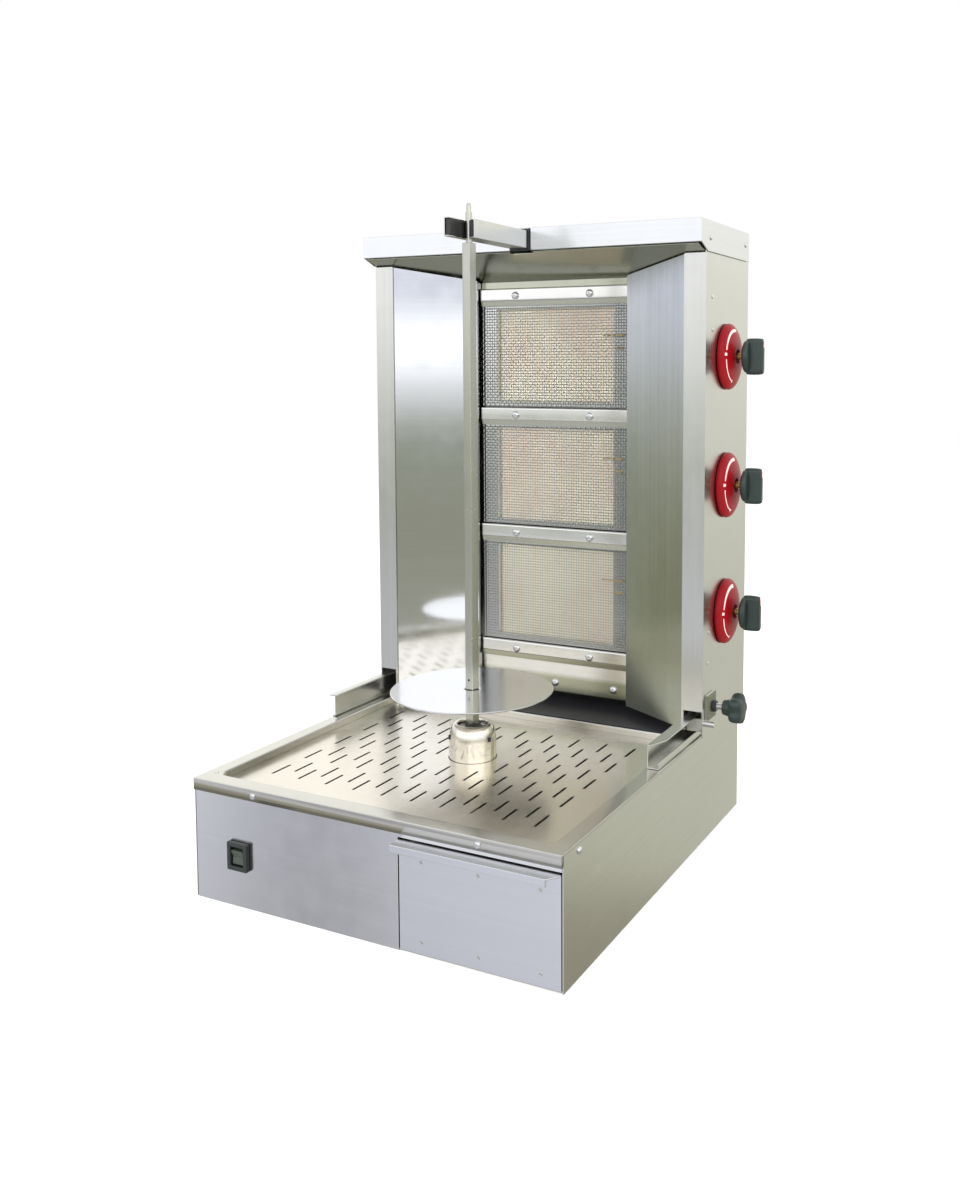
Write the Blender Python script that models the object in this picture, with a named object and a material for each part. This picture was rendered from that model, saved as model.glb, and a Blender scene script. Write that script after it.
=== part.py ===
"""Table-top vertical broiler: a gas-fired burner column that slides on rails towards a motor-driven spit.

Frame: metres, +Z up, +X to the right of the user, +Y to the back. The origin is the centre of the
underside of the base.
"""

import math

import bmesh
import bpy
from mathutils import Vector

# ---------------------------------------------------------------- driving sizes
BASE_WIDTH = 0.500
BASE_DEPTH = 0.570
BASE_HEIGHT = 0.1485
COLUMN_HEIGHT = 0.830
SHEET = 0.0015
GAP = 0.0004

# deck and tray
DECK_LIP = 0.0145
DECK_LIP_PROUD = 0.003
RIM_SIDE = 0.021
RIM_FRONT = 0.020
RECESS_DEPTH = 0.0105
TRAY_LEDGE = 0.008
RECESS_CORNER = 0.012
TRAY_SLOT_LENGTH = 0.0345
TRAY_SLOT_WIDTH = 0.0034
TRAY_SLOT_COLUMN_PITCH = 0.0411
TRAY_SLOT_ROW_PITCH = 0.062
TRAY_SLOT_BETWEEN_ROW_PITCH = 0.066
TRAY_SLOT_FIRST_ROW = 0.067
TRAY_SLOT_FIRST_BETWEEN_ROW = 0.085
TRAY_SLOT_OFFSET = -0.006
FLOOR_PLATE_THICKNESS = 0.001

# drawer
DRAWER_WIDTH = 0.200
DRAWER_FRONT_HEIGHT = 0.127
DRAWER_SIDE_GAP = 0.0012
DRAWER_PAN_DEPTH = 0.330
DRAWER_PAN_HEIGHT = 0.062
HANDLE_REACH = 0.018
HANDLE_HEM = 0.0085
HANDLE_CORNER = 0.011

# rocker switch
SWITCH_WIDTH = 0.030
SWITCH_HEIGHT = 0.034
SWITCH_FROM_LEFT = 0.069
SWITCH_CENTRE_Z = 0.063
SWITCH_PROUD = 0.006
ROCKER_TILT = math.radians(9)

# spit drive
SPIT_FROM_FRONT = 0.234
SPIT_SIDE = 0.0125
SPIT_REST_TURN = math.radians(-12)
HUB_RADIUS = 0.0305
HUB_TOP_RADIUS = 0.0228
HUB_TOP = 0.183
HUB_SHOULDER = 0.160
HUB_HOLE_CLEARANCE = 0.0012
DISC_RADIUS = 0.105
DISC_TOP = 0.2275
DISC_THICKNESS = 0.002
DISC_SLEEVE_RADIUS = 0.014
DISC_SLEEVE_LENGTH = 0.020
SHAFT_RADIUS = 0.010
PIN_RADIUS = 0.0042
PIN_HEIGHT = 0.0495
GEAR_MODULE = 0.00125
GEAR_TEETH = 48
PINION_TEETH = 12
GEAR_THICKNESS = 0.010
GEAR_Z = 0.068
MOTOR_RADIUS = 0.030
RUNNING_CLEARANCE = 0.0005

# rails and burner column
COLUMN_DEPTH = 0.178
COLUMN_OVERHANG = 0.008
COLUMN_FLANGE = 0.030
COLUMN_FLOOR_GAP = 0.0035
RAIL_HEIGHT = 0.030
RAIL_REACH = 0.128
RAIL_FLANGE = 0.0155
RAIL_LIP = 0.009
RAIL_RAKE = 0.030
RIGHT_RAIL_INSET = 0.018
LEFT_RAIL_INSET = 0.006
RAIL_NOTCH_INSET = 0.019
RAIL_NOTCH_ABOVE = 0.008
HOOD_HEIGHT = 0.040
HOOD_FRONT_FACE = 0.030
HOOD_OVERHANG = 0.026
HOOD_SIDE_PROUD = 0.0025
DEFLECTOR_SLOPE = 0.32
DEFLECTOR_STRIP = 0.0092
WING_SHEET = 0.0012
WING_SET_BACK = 0.061
WING_RETURN = 0.0115
WING_BOTTOM = 0.161

# burners
BURNER_COUNT = 3
BURNER_BAY_WIDTH = 0.2415
BURNER_SET_BACK = 0.068
BURNER_PITCH = 0.1744
BURNER_BODY_HEIGHT = 0.1500
BURNER_BODY_DEPTH = 0.050
BURNER_BODY_WIDTH = 0.2300
CERAMIC_WIDTH = 0.1880
CERAMIC_HEIGHT = 0.1350
CERAMIC_THICKNESS = 0.012
BURNER_BODY_SET_BACK = 0.006
CERAMIC_SET_BACK = 0.015
TOP_BRACKET_BELOW_TOP = 0.0823
BURNER_BELOW_MIDDLE = 0.0015
BRACKET_FACE = 0.019
BRACKET_DEPTH = 0.024
MESH_BARS_X = 8
MESH_BARS_Z = 5
MESH_BAR = 0.0022
VENTURI_RADIUS = 0.011
VENTURI_LENGTH = 0.022

# gas controls
KNOB_BELOW_CENTRE = 0.003
CONTROL_FROM_FRONT = 0.085
DIAL_RADIUS = 0.0445
DIAL_THICKNESS = 0.016
DIAL_DISH = 0.006
STEM_RADIUS = 0.0040
KNOB_REACH = 0.026
KNOB_SPAN = 0.049
KNOB_DEPTH = 0.026
KNOB_GRIP = 0.013
KNOB_SKIRT_RADIUS = 0.0225
STEM_IN_KNOB = 0.010
MANIFOLD_RADIUS = 0.0075
VALVE_SIDE = 0.026
GAS_INLET_Z = 0.215

# clamp
CLAMP_FROM_FRONT = 0.029
CLAMP_Z = 0.189
CLAMP_PLATE = 0.033
CLAMP_STUD_RADIUS = 0.004
CLAMP_KNOB_REACH = 0.030
CLAMP_KNOB_RADIUS = 0.0215
CLAMP_KNOB_DEPTH = 0.018

# top arm
ARM_WIDTH = 0.026
ARM_HEIGHT = 0.0235
ARM_WALL = 0.0015
ARM_AHEAD_OF_SPIT = 0.038
ARM_LENGTH = 0.255
ARM_SLOT_SIDE_CUT = 0.030
GUIDE_WALL = 0.002
GUIDE_DEPTH = 0.010

# derived planes
FRONT = -BASE_DEPTH / 2
REAR = BASE_DEPTH / 2
HALF_BASE = BASE_WIDTH / 2
SPIT_Y = FRONT + SPIT_FROM_FRONT
COLUMN_FRONT = REAR - COLUMN_DEPTH
HALF_COLUMN = HALF_BASE + COLUMN_OVERHANG
HOOD_FRONT = COLUMN_FRONT - HOOD_OVERHANG
HALF_HOOD = HALF_COLUMN + HOOD_SIDE_PROUD
GUIDE_REAR = HOOD_FRONT - 0.002 + GUIDE_DEPTH
HOOD_BOTTOM = COLUMN_HEIGHT - HOOD_HEIGHT
TOP_BRACKET_Z = COLUMN_HEIGHT - TOP_BRACKET_BELOW_TOP
HALF_RECESS = HALF_BASE - RIM_SIDE
RECESS_FRONT = FRONT + RIM_FRONT
RECESS_REAR = COLUMN_FRONT + 0.004
TRAY_BOTTOM = BASE_HEIGHT - RECESS_DEPTH - SHEET
FLOOR_PLATE_BOTTOM = BASE_HEIGHT + GAP
RAIL_BOTTOM = BASE_HEIGHT + GAP
RAIL_TOP = RAIL_BOTTOM + RAIL_HEIGHT
RAIL_FRONT = COLUMN_FRONT - RAIL_REACH
RAIL_REAR = REAR - 0.008
COLUMN_BOTTOM = BASE_HEIGHT + COLUMN_FLOOR_GAP
HALF_BAY = BURNER_BAY_WIDTH / 2
BURNER_FRONT = COLUMN_FRONT + BURNER_SET_BACK
WING_BACK = COLUMN_FRONT + WING_SET_BACK
CONTROL_Y = COLUMN_FRONT + CONTROL_FROM_FRONT
CLAMP_Y = COLUMN_FRONT + CLAMP_FROM_FRONT
GEAR_RADIUS = GEAR_MODULE * GEAR_TEETH / 2
PINION_RADIUS = GEAR_MODULE * PINION_TEETH / 2
MOTOR_X = -(GEAR_RADIUS + PINION_RADIUS)
ARM_FRONT = SPIT_Y - ARM_AHEAD_OF_SPIT
ARM_TOP = COLUMN_HEIGHT - SHEET - GAP - GUIDE_WALL - GAP
ARM_BOTTOM = ARM_TOP - ARM_HEIGHT
SPIT_TOP = ARM_BOTTOM - 0.0055
DRAWER_RIGHT = HALF_BASE - SHEET - DRAWER_SIDE_GAP
DRAWER_LEFT = DRAWER_RIGHT - DRAWER_WIDTH
MOTOR_PLATE_RIGHT = SHAFT_RADIUS + 0.014
PAN_LEFT = max(DRAWER_LEFT + 0.004, MOTOR_PLATE_RIGHT + 0.002)
STEEL = ((0.62, 0.62, 0.58), 0.30, 1.0)


# ---------------------------------------------------------------- helpers
def clear_scene():
    for old in list(bpy.data.objects):
        bpy.data.objects.remove(old, do_unlink=True)


def finish(name, colour, roughness, metallic):
    """A Principled material, made once for each name."""
    material = bpy.data.materials.get(name)
    if material is None:
        material = bpy.data.materials.new(name)
        material.use_nodes = True
        shader = material.node_tree.nodes["Principled BSDF"]
        shader.inputs["Base Color"].default_value = (*colour, 1.0)
        shader.inputs["Roughness"].default_value = roughness
        shader.inputs["Metallic"].default_value = metallic
    return material


FINISHES = {
    "stainless_sheet": STEEL,
    "polished_steel": ((0.72, 0.72, 0.70), 0.15, 1.0),
    "black_enamel": ((0.03, 0.03, 0.035), 0.40, 0.0),
    "black_plastic": ((0.035, 0.045, 0.04), 0.45, 0.0),
    "red_plastic": ((0.45, 0.01, 0.02), 0.30, 0.0),
    "ceramic": ((0.83, 0.68, 0.52), 0.85, 0.0),
    "wire_mesh": ((0.50, 0.49, 0.46), 0.40, 1.0),
    "brass": ((0.70, 0.50, 0.20), 0.30, 1.0),
    "cast_metal": ((0.30, 0.30, 0.31), 0.55, 0.8),
}


def add(name, mesh, finish_name, parent=None):
    """Puts a bmesh into the scene as an object with one finish, its place kept in the object."""
    bmesh.ops.recalc_face_normals(mesh, faces=mesh.faces)
    data = bpy.data.meshes.new(name)
    mesh.to_mesh(data)
    mesh.free()
    thing = bpy.data.objects.new(name, data)
    bpy.context.scene.collection.objects.link(thing)
    if finish_name:
        data.materials.append(finish(finish_name, *FINISHES[finish_name]))
    if parent:
        thing.parent = parent
        thing.location = -parent.location
    return thing


def hide_cutter(cutter):
    cutter.hide_render = True
    cutter.display_type = "WIRE"


def combine(target, mesh, operation):
    """Joins a bmesh to an object, or cuts it out, with the exact solver."""
    number = len(target.modifiers) + 1
    other = add(f"{target.name}_{operation.lower()}_{number}", mesh, None)
    if target.parent:
        other.parent = target.parent
        other.location = -target.parent.location
    hide_cutter(other)
    step = target.modifiers.new(operation.lower(), "BOOLEAN")
    step.operation = operation
    step.solver = "EXACT"
    step.object = other
    return target


def cut(target, mesh):
    return combine(target, mesh, "DIFFERENCE")


def join(target, mesh):
    return combine(target, mesh, "UNION")


def smooth(thing, angle=35):
    thing.data.shade_smooth()
    thing.data.set_sharp_from_angle(angle=math.radians(angle))
    return thing


AXES = {"X": (1, 2, 0), "Y": (0, 2, 1), "Z": (0, 1, 2)}


def prism(outline, axis, low, high, mesh=None):
    """Extrudes a closed outline along an axis. Its points are in the other two axes, in XYZ order."""
    mesh = mesh or bmesh.new()
    first, second, along = AXES[axis]
    ring = []
    for point in outline:
        place = [0.0, 0.0, 0.0]
        place[first], place[second], place[along] = point[0], point[1], low
        ring.append(mesh.verts.new(place))
    start = mesh.faces.new(ring)
    grown = bmesh.ops.extrude_face_region(mesh, geom=[start])["geom"]
    step = Vector((0.0, 0.0, 0.0))
    step[along] = high - low
    bmesh.ops.translate(mesh, verts=[v for v in grown if isinstance(v, bmesh.types.BMVert)], vec=step)
    return mesh


def rounded_outline(low, high, radius, steps=4):
    """Outline in X and Y of a rectangle with quarter circles for corners."""
    left, right = low[0] + radius, high[0] - radius
    front, rear = low[1] + radius, high[1] - radius
    points = []
    for quarter, (x, y) in enumerate([(right, rear), (left, rear), (left, front), (right, front)]):
        for step in range(steps + 1):
            angle = math.radians(90.0 * (quarter + step / steps))
            points.append((x + radius * math.cos(angle), y + radius * math.sin(angle)))
    return points


def block(low, high, mesh=None):
    """A box from its lowest to its highest corner."""
    outline = [(low[0], low[1]), (high[0], low[1]), (high[0], high[1]), (low[0], high[1])]
    return prism(outline, "Z", low[2], high[2], mesh)


def blocks(boxes):
    mesh = bmesh.new()
    for low, high in boxes:
        block(low, high, mesh)
    return mesh


def ring_points(radius, sides, centre=(0.0, 0.0), turn=0.0):
    return [
        (
            centre[0] + radius * math.cos(turn + 2 * math.pi * i / sides),
            centre[1] + radius * math.sin(turn + 2 * math.pi * i / sides),
        )
        for i in range(sides)
    ]


def rod(centre, radius, axis, low, high, sides=16, mesh=None, turn=0.0):
    return prism(ring_points(radius, sides, centre, turn), axis, low, high, mesh)


def turned(profile, centre, axis, sides=24):
    """Spins a profile of (distance along the axis, radius) points; both ends close on the axis."""
    mesh = bmesh.new()
    first, second, along = AXES[axis]
    path = [(profile[0][0], 0.0), *profile, (profile[-1][0], 0.0)]
    points = []
    for distance, radius in path:
        place = [0.0, 0.0, 0.0]
        place[first], place[second], place[along] = centre[0] + radius, centre[1], distance
        points.append(mesh.verts.new(place))
    edges = [mesh.edges.new(pair) for pair in zip(points, points[1:])]
    middle, direction = Vector((0.0, 0.0, 0.0)), Vector((0.0, 0.0, 0.0))
    middle[first], middle[second], direction[along] = centre[0], centre[1], 1.0
    bmesh.ops.spin(
        mesh, geom=points + edges, cent=middle, axis=direction, angle=2 * math.pi, steps=sides
    )
    bmesh.ops.remove_doubles(mesh, verts=mesh.verts, dist=1e-6)
    return mesh


def folded(points, thickness):
    """The closed outline of a sheet bent along open points, its thickness to the left of the path."""
    path = [Vector(point) for point in points]
    sides = []
    for start, end in zip(path, path[1:]):
        run = (end - start).normalized()
        sides.append(Vector((-run.y, run.x)))
    inner = []
    for i, point in enumerate(path):
        before = sides[max(i - 1, 0)]
        after = sides[min(i, len(sides) - 1)]
        middle = (before + after).normalized()
        inner.append(point + middle * (thickness / middle.dot(after)))
    return [tuple(point) for point in path] + [tuple(point) for point in reversed(inner)]


def bent_sheet(points, thickness, axis, low, high, mesh=None):
    return prism(folded(points, thickness), axis, low, high, mesh)


def empty(name, place):
    pivot = bpy.data.objects.new(name, None)
    pivot.location = place
    bpy.context.scene.collection.objects.link(pivot)
    return pivot


def burner_centres():
    top = TOP_BRACKET_Z - BURNER_PITCH / 2 - BURNER_BELOW_MIDDLE
    return [top - BURNER_PITCH * i for i in range(BURNER_COUNT)]


def bracket_centres():
    return [TOP_BRACKET_Z - BURNER_PITCH * i for i in range(BURNER_COUNT + 1)]


def deflector_underside(y):
    """Height of the underside of the sloping hood liner at a distance y to the back."""
    return COLUMN_HEIGHT - HOOD_FRONT_FACE - 0.0015 - DEFLECTOR_SLOPE * (y - HOOD_FRONT)


# ---------------------------------------------------------------- base
def base_shell():
    """Left side, back and right side of the base, folded from one sheet."""
    outline = folded(
        [(-HALF_BASE, FRONT), (-HALF_BASE, REAR), (HALF_BASE, REAR), (HALF_BASE, FRONT)], -SHEET
    )
    shell = add("base_shell", prism(outline, "Z", 0.0, BASE_HEIGHT - SHEET - GAP), "stainless_sheet")
    return cut(shell, rod((-0.180, 0.045), 0.0085, "Y", REAR - 0.02, REAR + 0.02, 12))


def base_floor():
    """The bottom plate that the whole broiler stands on."""
    edge = HALF_BASE - SHEET - GAP
    low = (-edge, FRONT + SHEET + GAP, 0.0)
    high = (edge, REAR - SHEET - GAP, SHEET)
    return add("base_floor", block(low, high), "stainless_sheet")


def base_front_panel():
    """Front sheet with the drawer opening at its right end and the switch cut-out at its left."""
    edge = HALF_BASE - SHEET - GAP
    side = DRAWER_LEFT - DRAWER_SIDE_GAP
    sill = DRAWER_FRONT_HEIGHT + 0.0015
    top = BASE_HEIGHT - SHEET - GAP
    outline = [(-edge, 0.0), (side, 0.0), (side, sill), (edge, sill), (edge, top), (-edge, top)]
    panel = add("base_front_panel", prism(outline, "Y", FRONT, FRONT + SHEET), "stainless_sheet")
    x = SWITCH_FROM_LEFT - HALF_BASE
    half_w, half_h = SWITCH_WIDTH / 2 - 0.003, SWITCH_HEIGHT / 2 - 0.003
    hole = block(
        (x - half_w, FRONT - 0.01, SWITCH_CENTRE_Z - half_h),
        (x + half_w, FRONT + 0.01, SWITCH_CENTRE_Z + half_h),
    )
    return cut(panel, hole)


def deck_frame():
    """Top of the base: a rim round a sunken opening, with a ledge for the tray and a folded front lip."""
    top, under = BASE_HEIGHT, BASE_HEIGHT - SHEET
    lip_front = FRONT - DECK_LIP_PROUD
    deck = add(
        "deck_frame", block((-HALF_BASE, lip_front, under), (HALF_BASE, REAR, top)), "stainless_sheet"
    )
    join(deck, block((-HALF_BASE, lip_front, top - DECK_LIP), (HALF_BASE, lip_front + SHEET, top)))
    front, rear = RECESS_FRONT, RECESS_REAR
    wall = HALF_RECESS + SHEET
    outside = rounded_outline((-wall, front - SHEET), (wall, rear + SHEET), RECESS_CORNER + SHEET)
    join(deck, prism(outside, "Z", TRAY_BOTTOM - SHEET, top - SHEET / 2))
    recess = rounded_outline((-HALF_RECESS, front), (HALF_RECESS, rear), RECESS_CORNER)
    cut(deck, prism(recess, "Z", TRAY_BOTTOM, top + 0.01))
    inner, ledge = HALF_RECESS - TRAY_LEDGE, TRAY_LEDGE
    hole = rounded_outline((-inner, front + ledge), (inner, rear - ledge), RECESS_CORNER - TRAY_LEDGE)
    cut(deck, prism(hole, "Z", TRAY_BOTTOM - 0.01, top + 0.01))
    return deck


def tray_slots(half_width, front, rear):
    """Rows of slots, with rows between them set half a pitch over, that miss the hub and the edges."""
    mesh = bmesh.new()
    columns = int((2 * half_width - 0.040) / TRAY_SLOT_COLUMN_PITCH)
    rows = int((rear - front - 2 * TRAY_SLOT_LENGTH) / TRAY_SLOT_ROW_PITCH) + 1
    half = TRAY_SLOT_LENGTH / 2
    keep_clear = HUB_RADIUS + HUB_HOLE_CLEARANCE + 0.005
    for between in (0, 1):
        first = TRAY_SLOT_FIRST_BETWEEN_ROW if between else TRAY_SLOT_FIRST_ROW
        pitch = TRAY_SLOT_BETWEEN_ROW_PITCH if between else TRAY_SLOT_ROW_PITCH
        for row in range(rows - between):
            y = front + first + row * pitch
            for column in range(columns - between):
                x = TRAY_SLOT_OFFSET + (column - (columns - 1 - between) / 2) * TRAY_SLOT_COLUMN_PITCH
                if math.hypot(x, max(abs(y - SPIT_Y) - half, 0.0)) < keep_clear or y + half > rear - 0.006:
                    continue
                block(
                    (x - TRAY_SLOT_WIDTH / 2, y - half, 0.0),
                    (x + TRAY_SLOT_WIDTH / 2, y + half, BASE_HEIGHT + 0.02),
                    mesh,
                )
    return mesh


def tray_plate():
    """Perforated plate that lies in the sunken deck round the hub."""
    half = HALF_RECESS - GAP
    front, rear = RECESS_FRONT + GAP, RECESS_REAR - GAP
    bottom = TRAY_BOTTOM + GAP
    outline = rounded_outline((-half, front), (half, rear), RECESS_CORNER - GAP)
    plate = add("tray_plate", prism(outline, "Z", bottom, bottom + SHEET), "stainless_sheet")
    hole = rod((0.0, SPIT_Y), HUB_RADIUS + HUB_HOLE_CLEARANCE, "Z", 0.0, BASE_HEIGHT + 0.02, 24)
    cut(plate, hole)
    return cut(plate, tray_slots(half, front, rear))


def deck_floor_plate():
    """Dark plate on the deck behind the tray, under the burner column."""
    half = HALF_RECESS - 0.002
    return add(
        "deck_floor_plate",
        block(
            (-half, RECESS_REAR + SHEET, FLOOR_PLATE_BOTTOM),
            (half, REAR - 0.004, FLOOR_PLATE_BOTTOM + FLOOR_PLATE_THICKNESS),
        ),
        "black_enamel",
    )


def right_rail():
    """C-section rail, open to the right: a lip on its lower flange, its upper one raked at the front."""
    web = HALF_BASE - RIGHT_RAIL_INSET
    reach = web + RAIL_FLANGE
    points = [
        (reach, RAIL_TOP),
        (web, RAIL_TOP),
        (web, RAIL_BOTTOM),
        (reach, RAIL_BOTTOM),
        (reach, RAIL_BOTTOM + RAIL_LIP),
    ]
    rail = add("right_rail", bent_sheet(points, SHEET, "Y", RAIL_FRONT, RAIL_REAR), "stainless_sheet")
    near, outside = RAIL_FRONT - 0.002, reach + 0.002
    corner = [(web + SHEET + 0.002, near), (outside, near), (outside, RAIL_FRONT + RAIL_RAKE)]
    return cut(rail, prism(corner, "Z", RAIL_TOP - SHEET - 0.001, RAIL_TOP + 0.002))


def left_rail():
    """Rail near the deck's left edge: a web, a foot and a top flange that reaches over the edge."""
    web = -(HALF_BASE - LEFT_RAIL_INSET)
    points = [
        (web - 0.0115, RAIL_TOP),
        (web, RAIL_TOP),
        (web, RAIL_BOTTOM),
        (web - LEFT_RAIL_INSET, RAIL_BOTTOM),
    ]
    return add("left_rail", bent_sheet(points, -SHEET, "Y", RAIL_FRONT, RAIL_REAR), "stainless_sheet")


def drip_chute():
    """Sloping sheet under the tray that leads the fat to the drawer, with a collar round the shaft."""
    left = -(HALF_RECESS - 0.002)
    right = PAN_LEFT + 0.016
    high, low = TRAY_BOTTOM - SHEET - 0.004, 0.112
    front, rear = RECESS_FRONT + 0.004, RECESS_REAR - 0.004
    points = [(left, high), (left + 0.006, high - 0.006), (right, low), (right + 0.002, low - 0.008)]
    chute = add("drip_chute", bent_sheet(points, -0.0012, "Y", front, rear), "stainless_sheet")
    collar = SHAFT_RADIUS + 0.0045
    join(chute, rod((0.0, SPIT_Y), collar, "Z", low - 0.002, high - 0.001, 16))
    return cut(chute, rod((0.0, SPIT_Y), collar - SHEET, "Z", low - 0.02, high + 0.02, 16))


def gear_motor():
    """Motor can under a gear plate, with the boss that carries the output shaft."""
    plate_top = GEAR_Z - 0.004
    plate_bottom = plate_top - 0.004
    half = MOTOR_RADIUS + 0.006
    motor = add(
        "gear_motor",
        block(
            (MOTOR_X - half, SPIT_Y - half, plate_bottom),
            (MOTOR_PLATE_RIGHT, SPIT_Y + half, plate_top),
        ),
        "cast_metal",
    )
    join(motor, rod((MOTOR_X, SPIT_Y), MOTOR_RADIUS, "Z", SHEET + GAP, plate_bottom + 0.001, 20))
    join(motor, rod((0.0, SPIT_Y), SHAFT_RADIUS + 0.006, "Z", plate_bottom - 0.022, plate_bottom + 0.001, 20))
    cut(motor, rod((0.0, SPIT_Y), SHAFT_RADIUS + RUNNING_CLEARANCE, "Z", 0.01, plate_top + 0.01, 24))
    return cut(motor, rod((MOTOR_X, SPIT_Y), 0.0030 + RUNNING_CLEARANCE, "Z", 0.045, plate_top + 0.01, 16))


def rocker_bezel():
    """Frame of the mains switch, its body behind the panel."""
    x = SWITCH_FROM_LEFT - HALF_BASE
    z = SWITCH_CENTRE_Z
    half_w, half_h = SWITCH_WIDTH / 2, SWITCH_HEIGHT / 2
    bezel = add(
        "rocker_bezel",
        block((x - half_w, FRONT - SWITCH_PROUD, z - half_h), (x + half_w, FRONT - GAP, z + half_h)),
        "black_plastic",
    )
    body_w, body_h = half_w - 0.0035, half_h - 0.0035
    join(
        bezel,
        block((x - body_w, FRONT - 0.002, z - body_h), (x + body_w, FRONT + 0.026, z + body_h)),
    )
    pocket_w, pocket_h = half_w - 0.0055, half_h - 0.0055
    return cut(
        bezel,
        block(
            (x - pocket_w, FRONT - 0.02, z - pocket_h), (x + pocket_w, FRONT + 0.018, z + pocket_h)
        ),
    )


def rocker():
    """The rocking key, a shallow V in section, turned to its off position."""
    x = SWITCH_FROM_LEFT - HALF_BASE
    pivot = empty("rocker_pivot", (x, FRONT + 0.004, SWITCH_CENTRE_Z))
    half_w = SWITCH_WIDTH / 2 - 0.0062
    half_h = SWITCH_HEIGHT / 2 - 0.0080
    outline = [
        (-0.0085, -half_h),
        (-0.0065, 0.0),
        (-0.0085, half_h),
        (0.0015, half_h - 0.002),
        (0.0090, 0.0),
        (0.0015, -half_h + 0.002),
    ]
    key = add("rocker", prism(outline, "X", -half_w, half_w), "black_plastic")
    key.parent = pivot
    key.rotation_euler.x = ROCKER_TILT
    return key


def cable_gland():
    """Gland at the back of the base where the mains lead goes in."""
    profile = [
        (REAR - 0.012, 0.0075),
        (REAR + GAP, 0.0075),
        (REAR + GAP, 0.0125),
        (REAR + 0.008, 0.0125),
        (REAR + 0.018, 0.0085),
    ]
    gland = add("cable_gland", turned(profile, (-0.180, 0.045), "Y", 12), "black_plastic")
    return cut(gland, rod((-0.180, 0.045), 0.0042, "Y", REAR - 0.02, REAR + 0.03, 12))


# ---------------------------------------------------------------- drawer
def drawer_front():
    """Drawer face with a folded grip along its top edge."""
    top = DRAWER_FRONT_HEIGHT
    face = block((DRAWER_LEFT, FRONT, 0.0015), (DRAWER_RIGHT, FRONT + SHEET, top))
    front = add("drawer_front", face, "stainless_sheet")
    reach = FRONT - HANDLE_REACH
    join(front, block((DRAWER_LEFT, reach, top - SHEET), (DRAWER_RIGHT, FRONT + SHEET / 2, top)))
    join(front, block((DRAWER_LEFT, reach, top - HANDLE_HEM), (DRAWER_RIGHT, reach + SHEET, top)))
    near, outside = reach - 0.002, DRAWER_RIGHT + 0.002
    corner = [(DRAWER_RIGHT - HANDLE_CORNER, near), (outside, near), (outside, FRONT - 0.002)]
    return cut(front, prism(corner, "Z", top - HANDLE_HEM - 0.002, top + 0.002))


def drawer_pan():
    """Open pan behind the drawer face that catches the fat."""
    left, right = PAN_LEFT, DRAWER_RIGHT - 0.003
    front = FRONT + SHEET + GAP
    bottom = SHEET + 0.0010
    pan = add(
        "drawer_pan",
        block((left, front, bottom), (right, front + DRAWER_PAN_DEPTH, bottom + DRAWER_PAN_HEIGHT)),
        "stainless_sheet",
    )
    wall = 0.0012
    return cut(
        pan,
        block(
            (left + wall, front + wall, bottom + wall),
            (right - wall, front + DRAWER_PAN_DEPTH - wall, bottom + DRAWER_PAN_HEIGHT + 0.01),
        ),
    )


# ---------------------------------------------------------------- spit and drive
def gear_outline(teeth, phase):
    """Straight-flanked teeth, a little thinner than half the pitch, as an outline round the origin."""
    pitch_radius = GEAR_MODULE * teeth / 2
    outer, root = pitch_radius + 0.80 * GEAR_MODULE, pitch_radius - 1.15 * GEAR_MODULE
    step = 2 * math.pi / teeth
    points = []
    for tooth in range(teeth):
        centre = phase + tooth * step
        for share, radius in ((-0.30, root), (-0.12, outer), (0.12, outer), (0.30, root)):
            turn = centre + share * step
            points.append((radius * math.cos(turn), radius * math.sin(turn)))
    return points


def output_gear():
    """Large gear on the spit's shaft."""
    pivot = empty("spit_axis", (0.0, SPIT_Y, 0.0))
    outline = gear_outline(GEAR_TEETH, 0.0)
    gear = add("output_gear", prism(outline, "Z", GEAR_Z, GEAR_Z + GEAR_THICKNESS), "cast_metal")
    gear.parent = pivot
    bore = rod((0.0, 0.0), SHAFT_RADIUS + 0.0003, "Z", 0.0, 0.2, 24)
    cutter = add("output_gear_bore", bore, None)
    cutter.parent = pivot
    hide_cutter(cutter)
    step = gear.modifiers.new("bore", "BOOLEAN")
    step.object = cutter
    return gear


def motor_pinion():
    """Small gear on the motor's own shaft, in mesh with the large one."""
    pivot = empty("pinion_axis", (MOTOR_X, SPIT_Y, 0.0))
    half_step = math.pi / PINION_TEETH
    pinion = add(
        "motor_pinion",
        prism(gear_outline(PINION_TEETH, half_step), "Z", GEAR_Z, GEAR_Z + GEAR_THICKNESS),
        "brass",
    )
    pinion.parent = pivot
    shaft = add("motor_pinion_shaft", rod((0.0, 0.0), 0.0030, "Z", 0.047, GEAR_Z + 0.002, 12), None)
    shaft.parent = pivot
    hide_cutter(shaft)
    step = pinion.modifiers.new("shaft", "BOOLEAN")
    step.operation = "UNION"
    step.object = shaft
    return pinion


def output_shaft():
    """Vertical shaft from the gear plate up into the hub."""
    bottom = GEAR_Z - 0.028
    top = BASE_HEIGHT + 0.012
    shaft = add("output_shaft", rod((0.0, SPIT_Y), SHAFT_RADIUS, "Z", bottom, top, 24), "polished_steel")
    return smooth(shaft)


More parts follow.
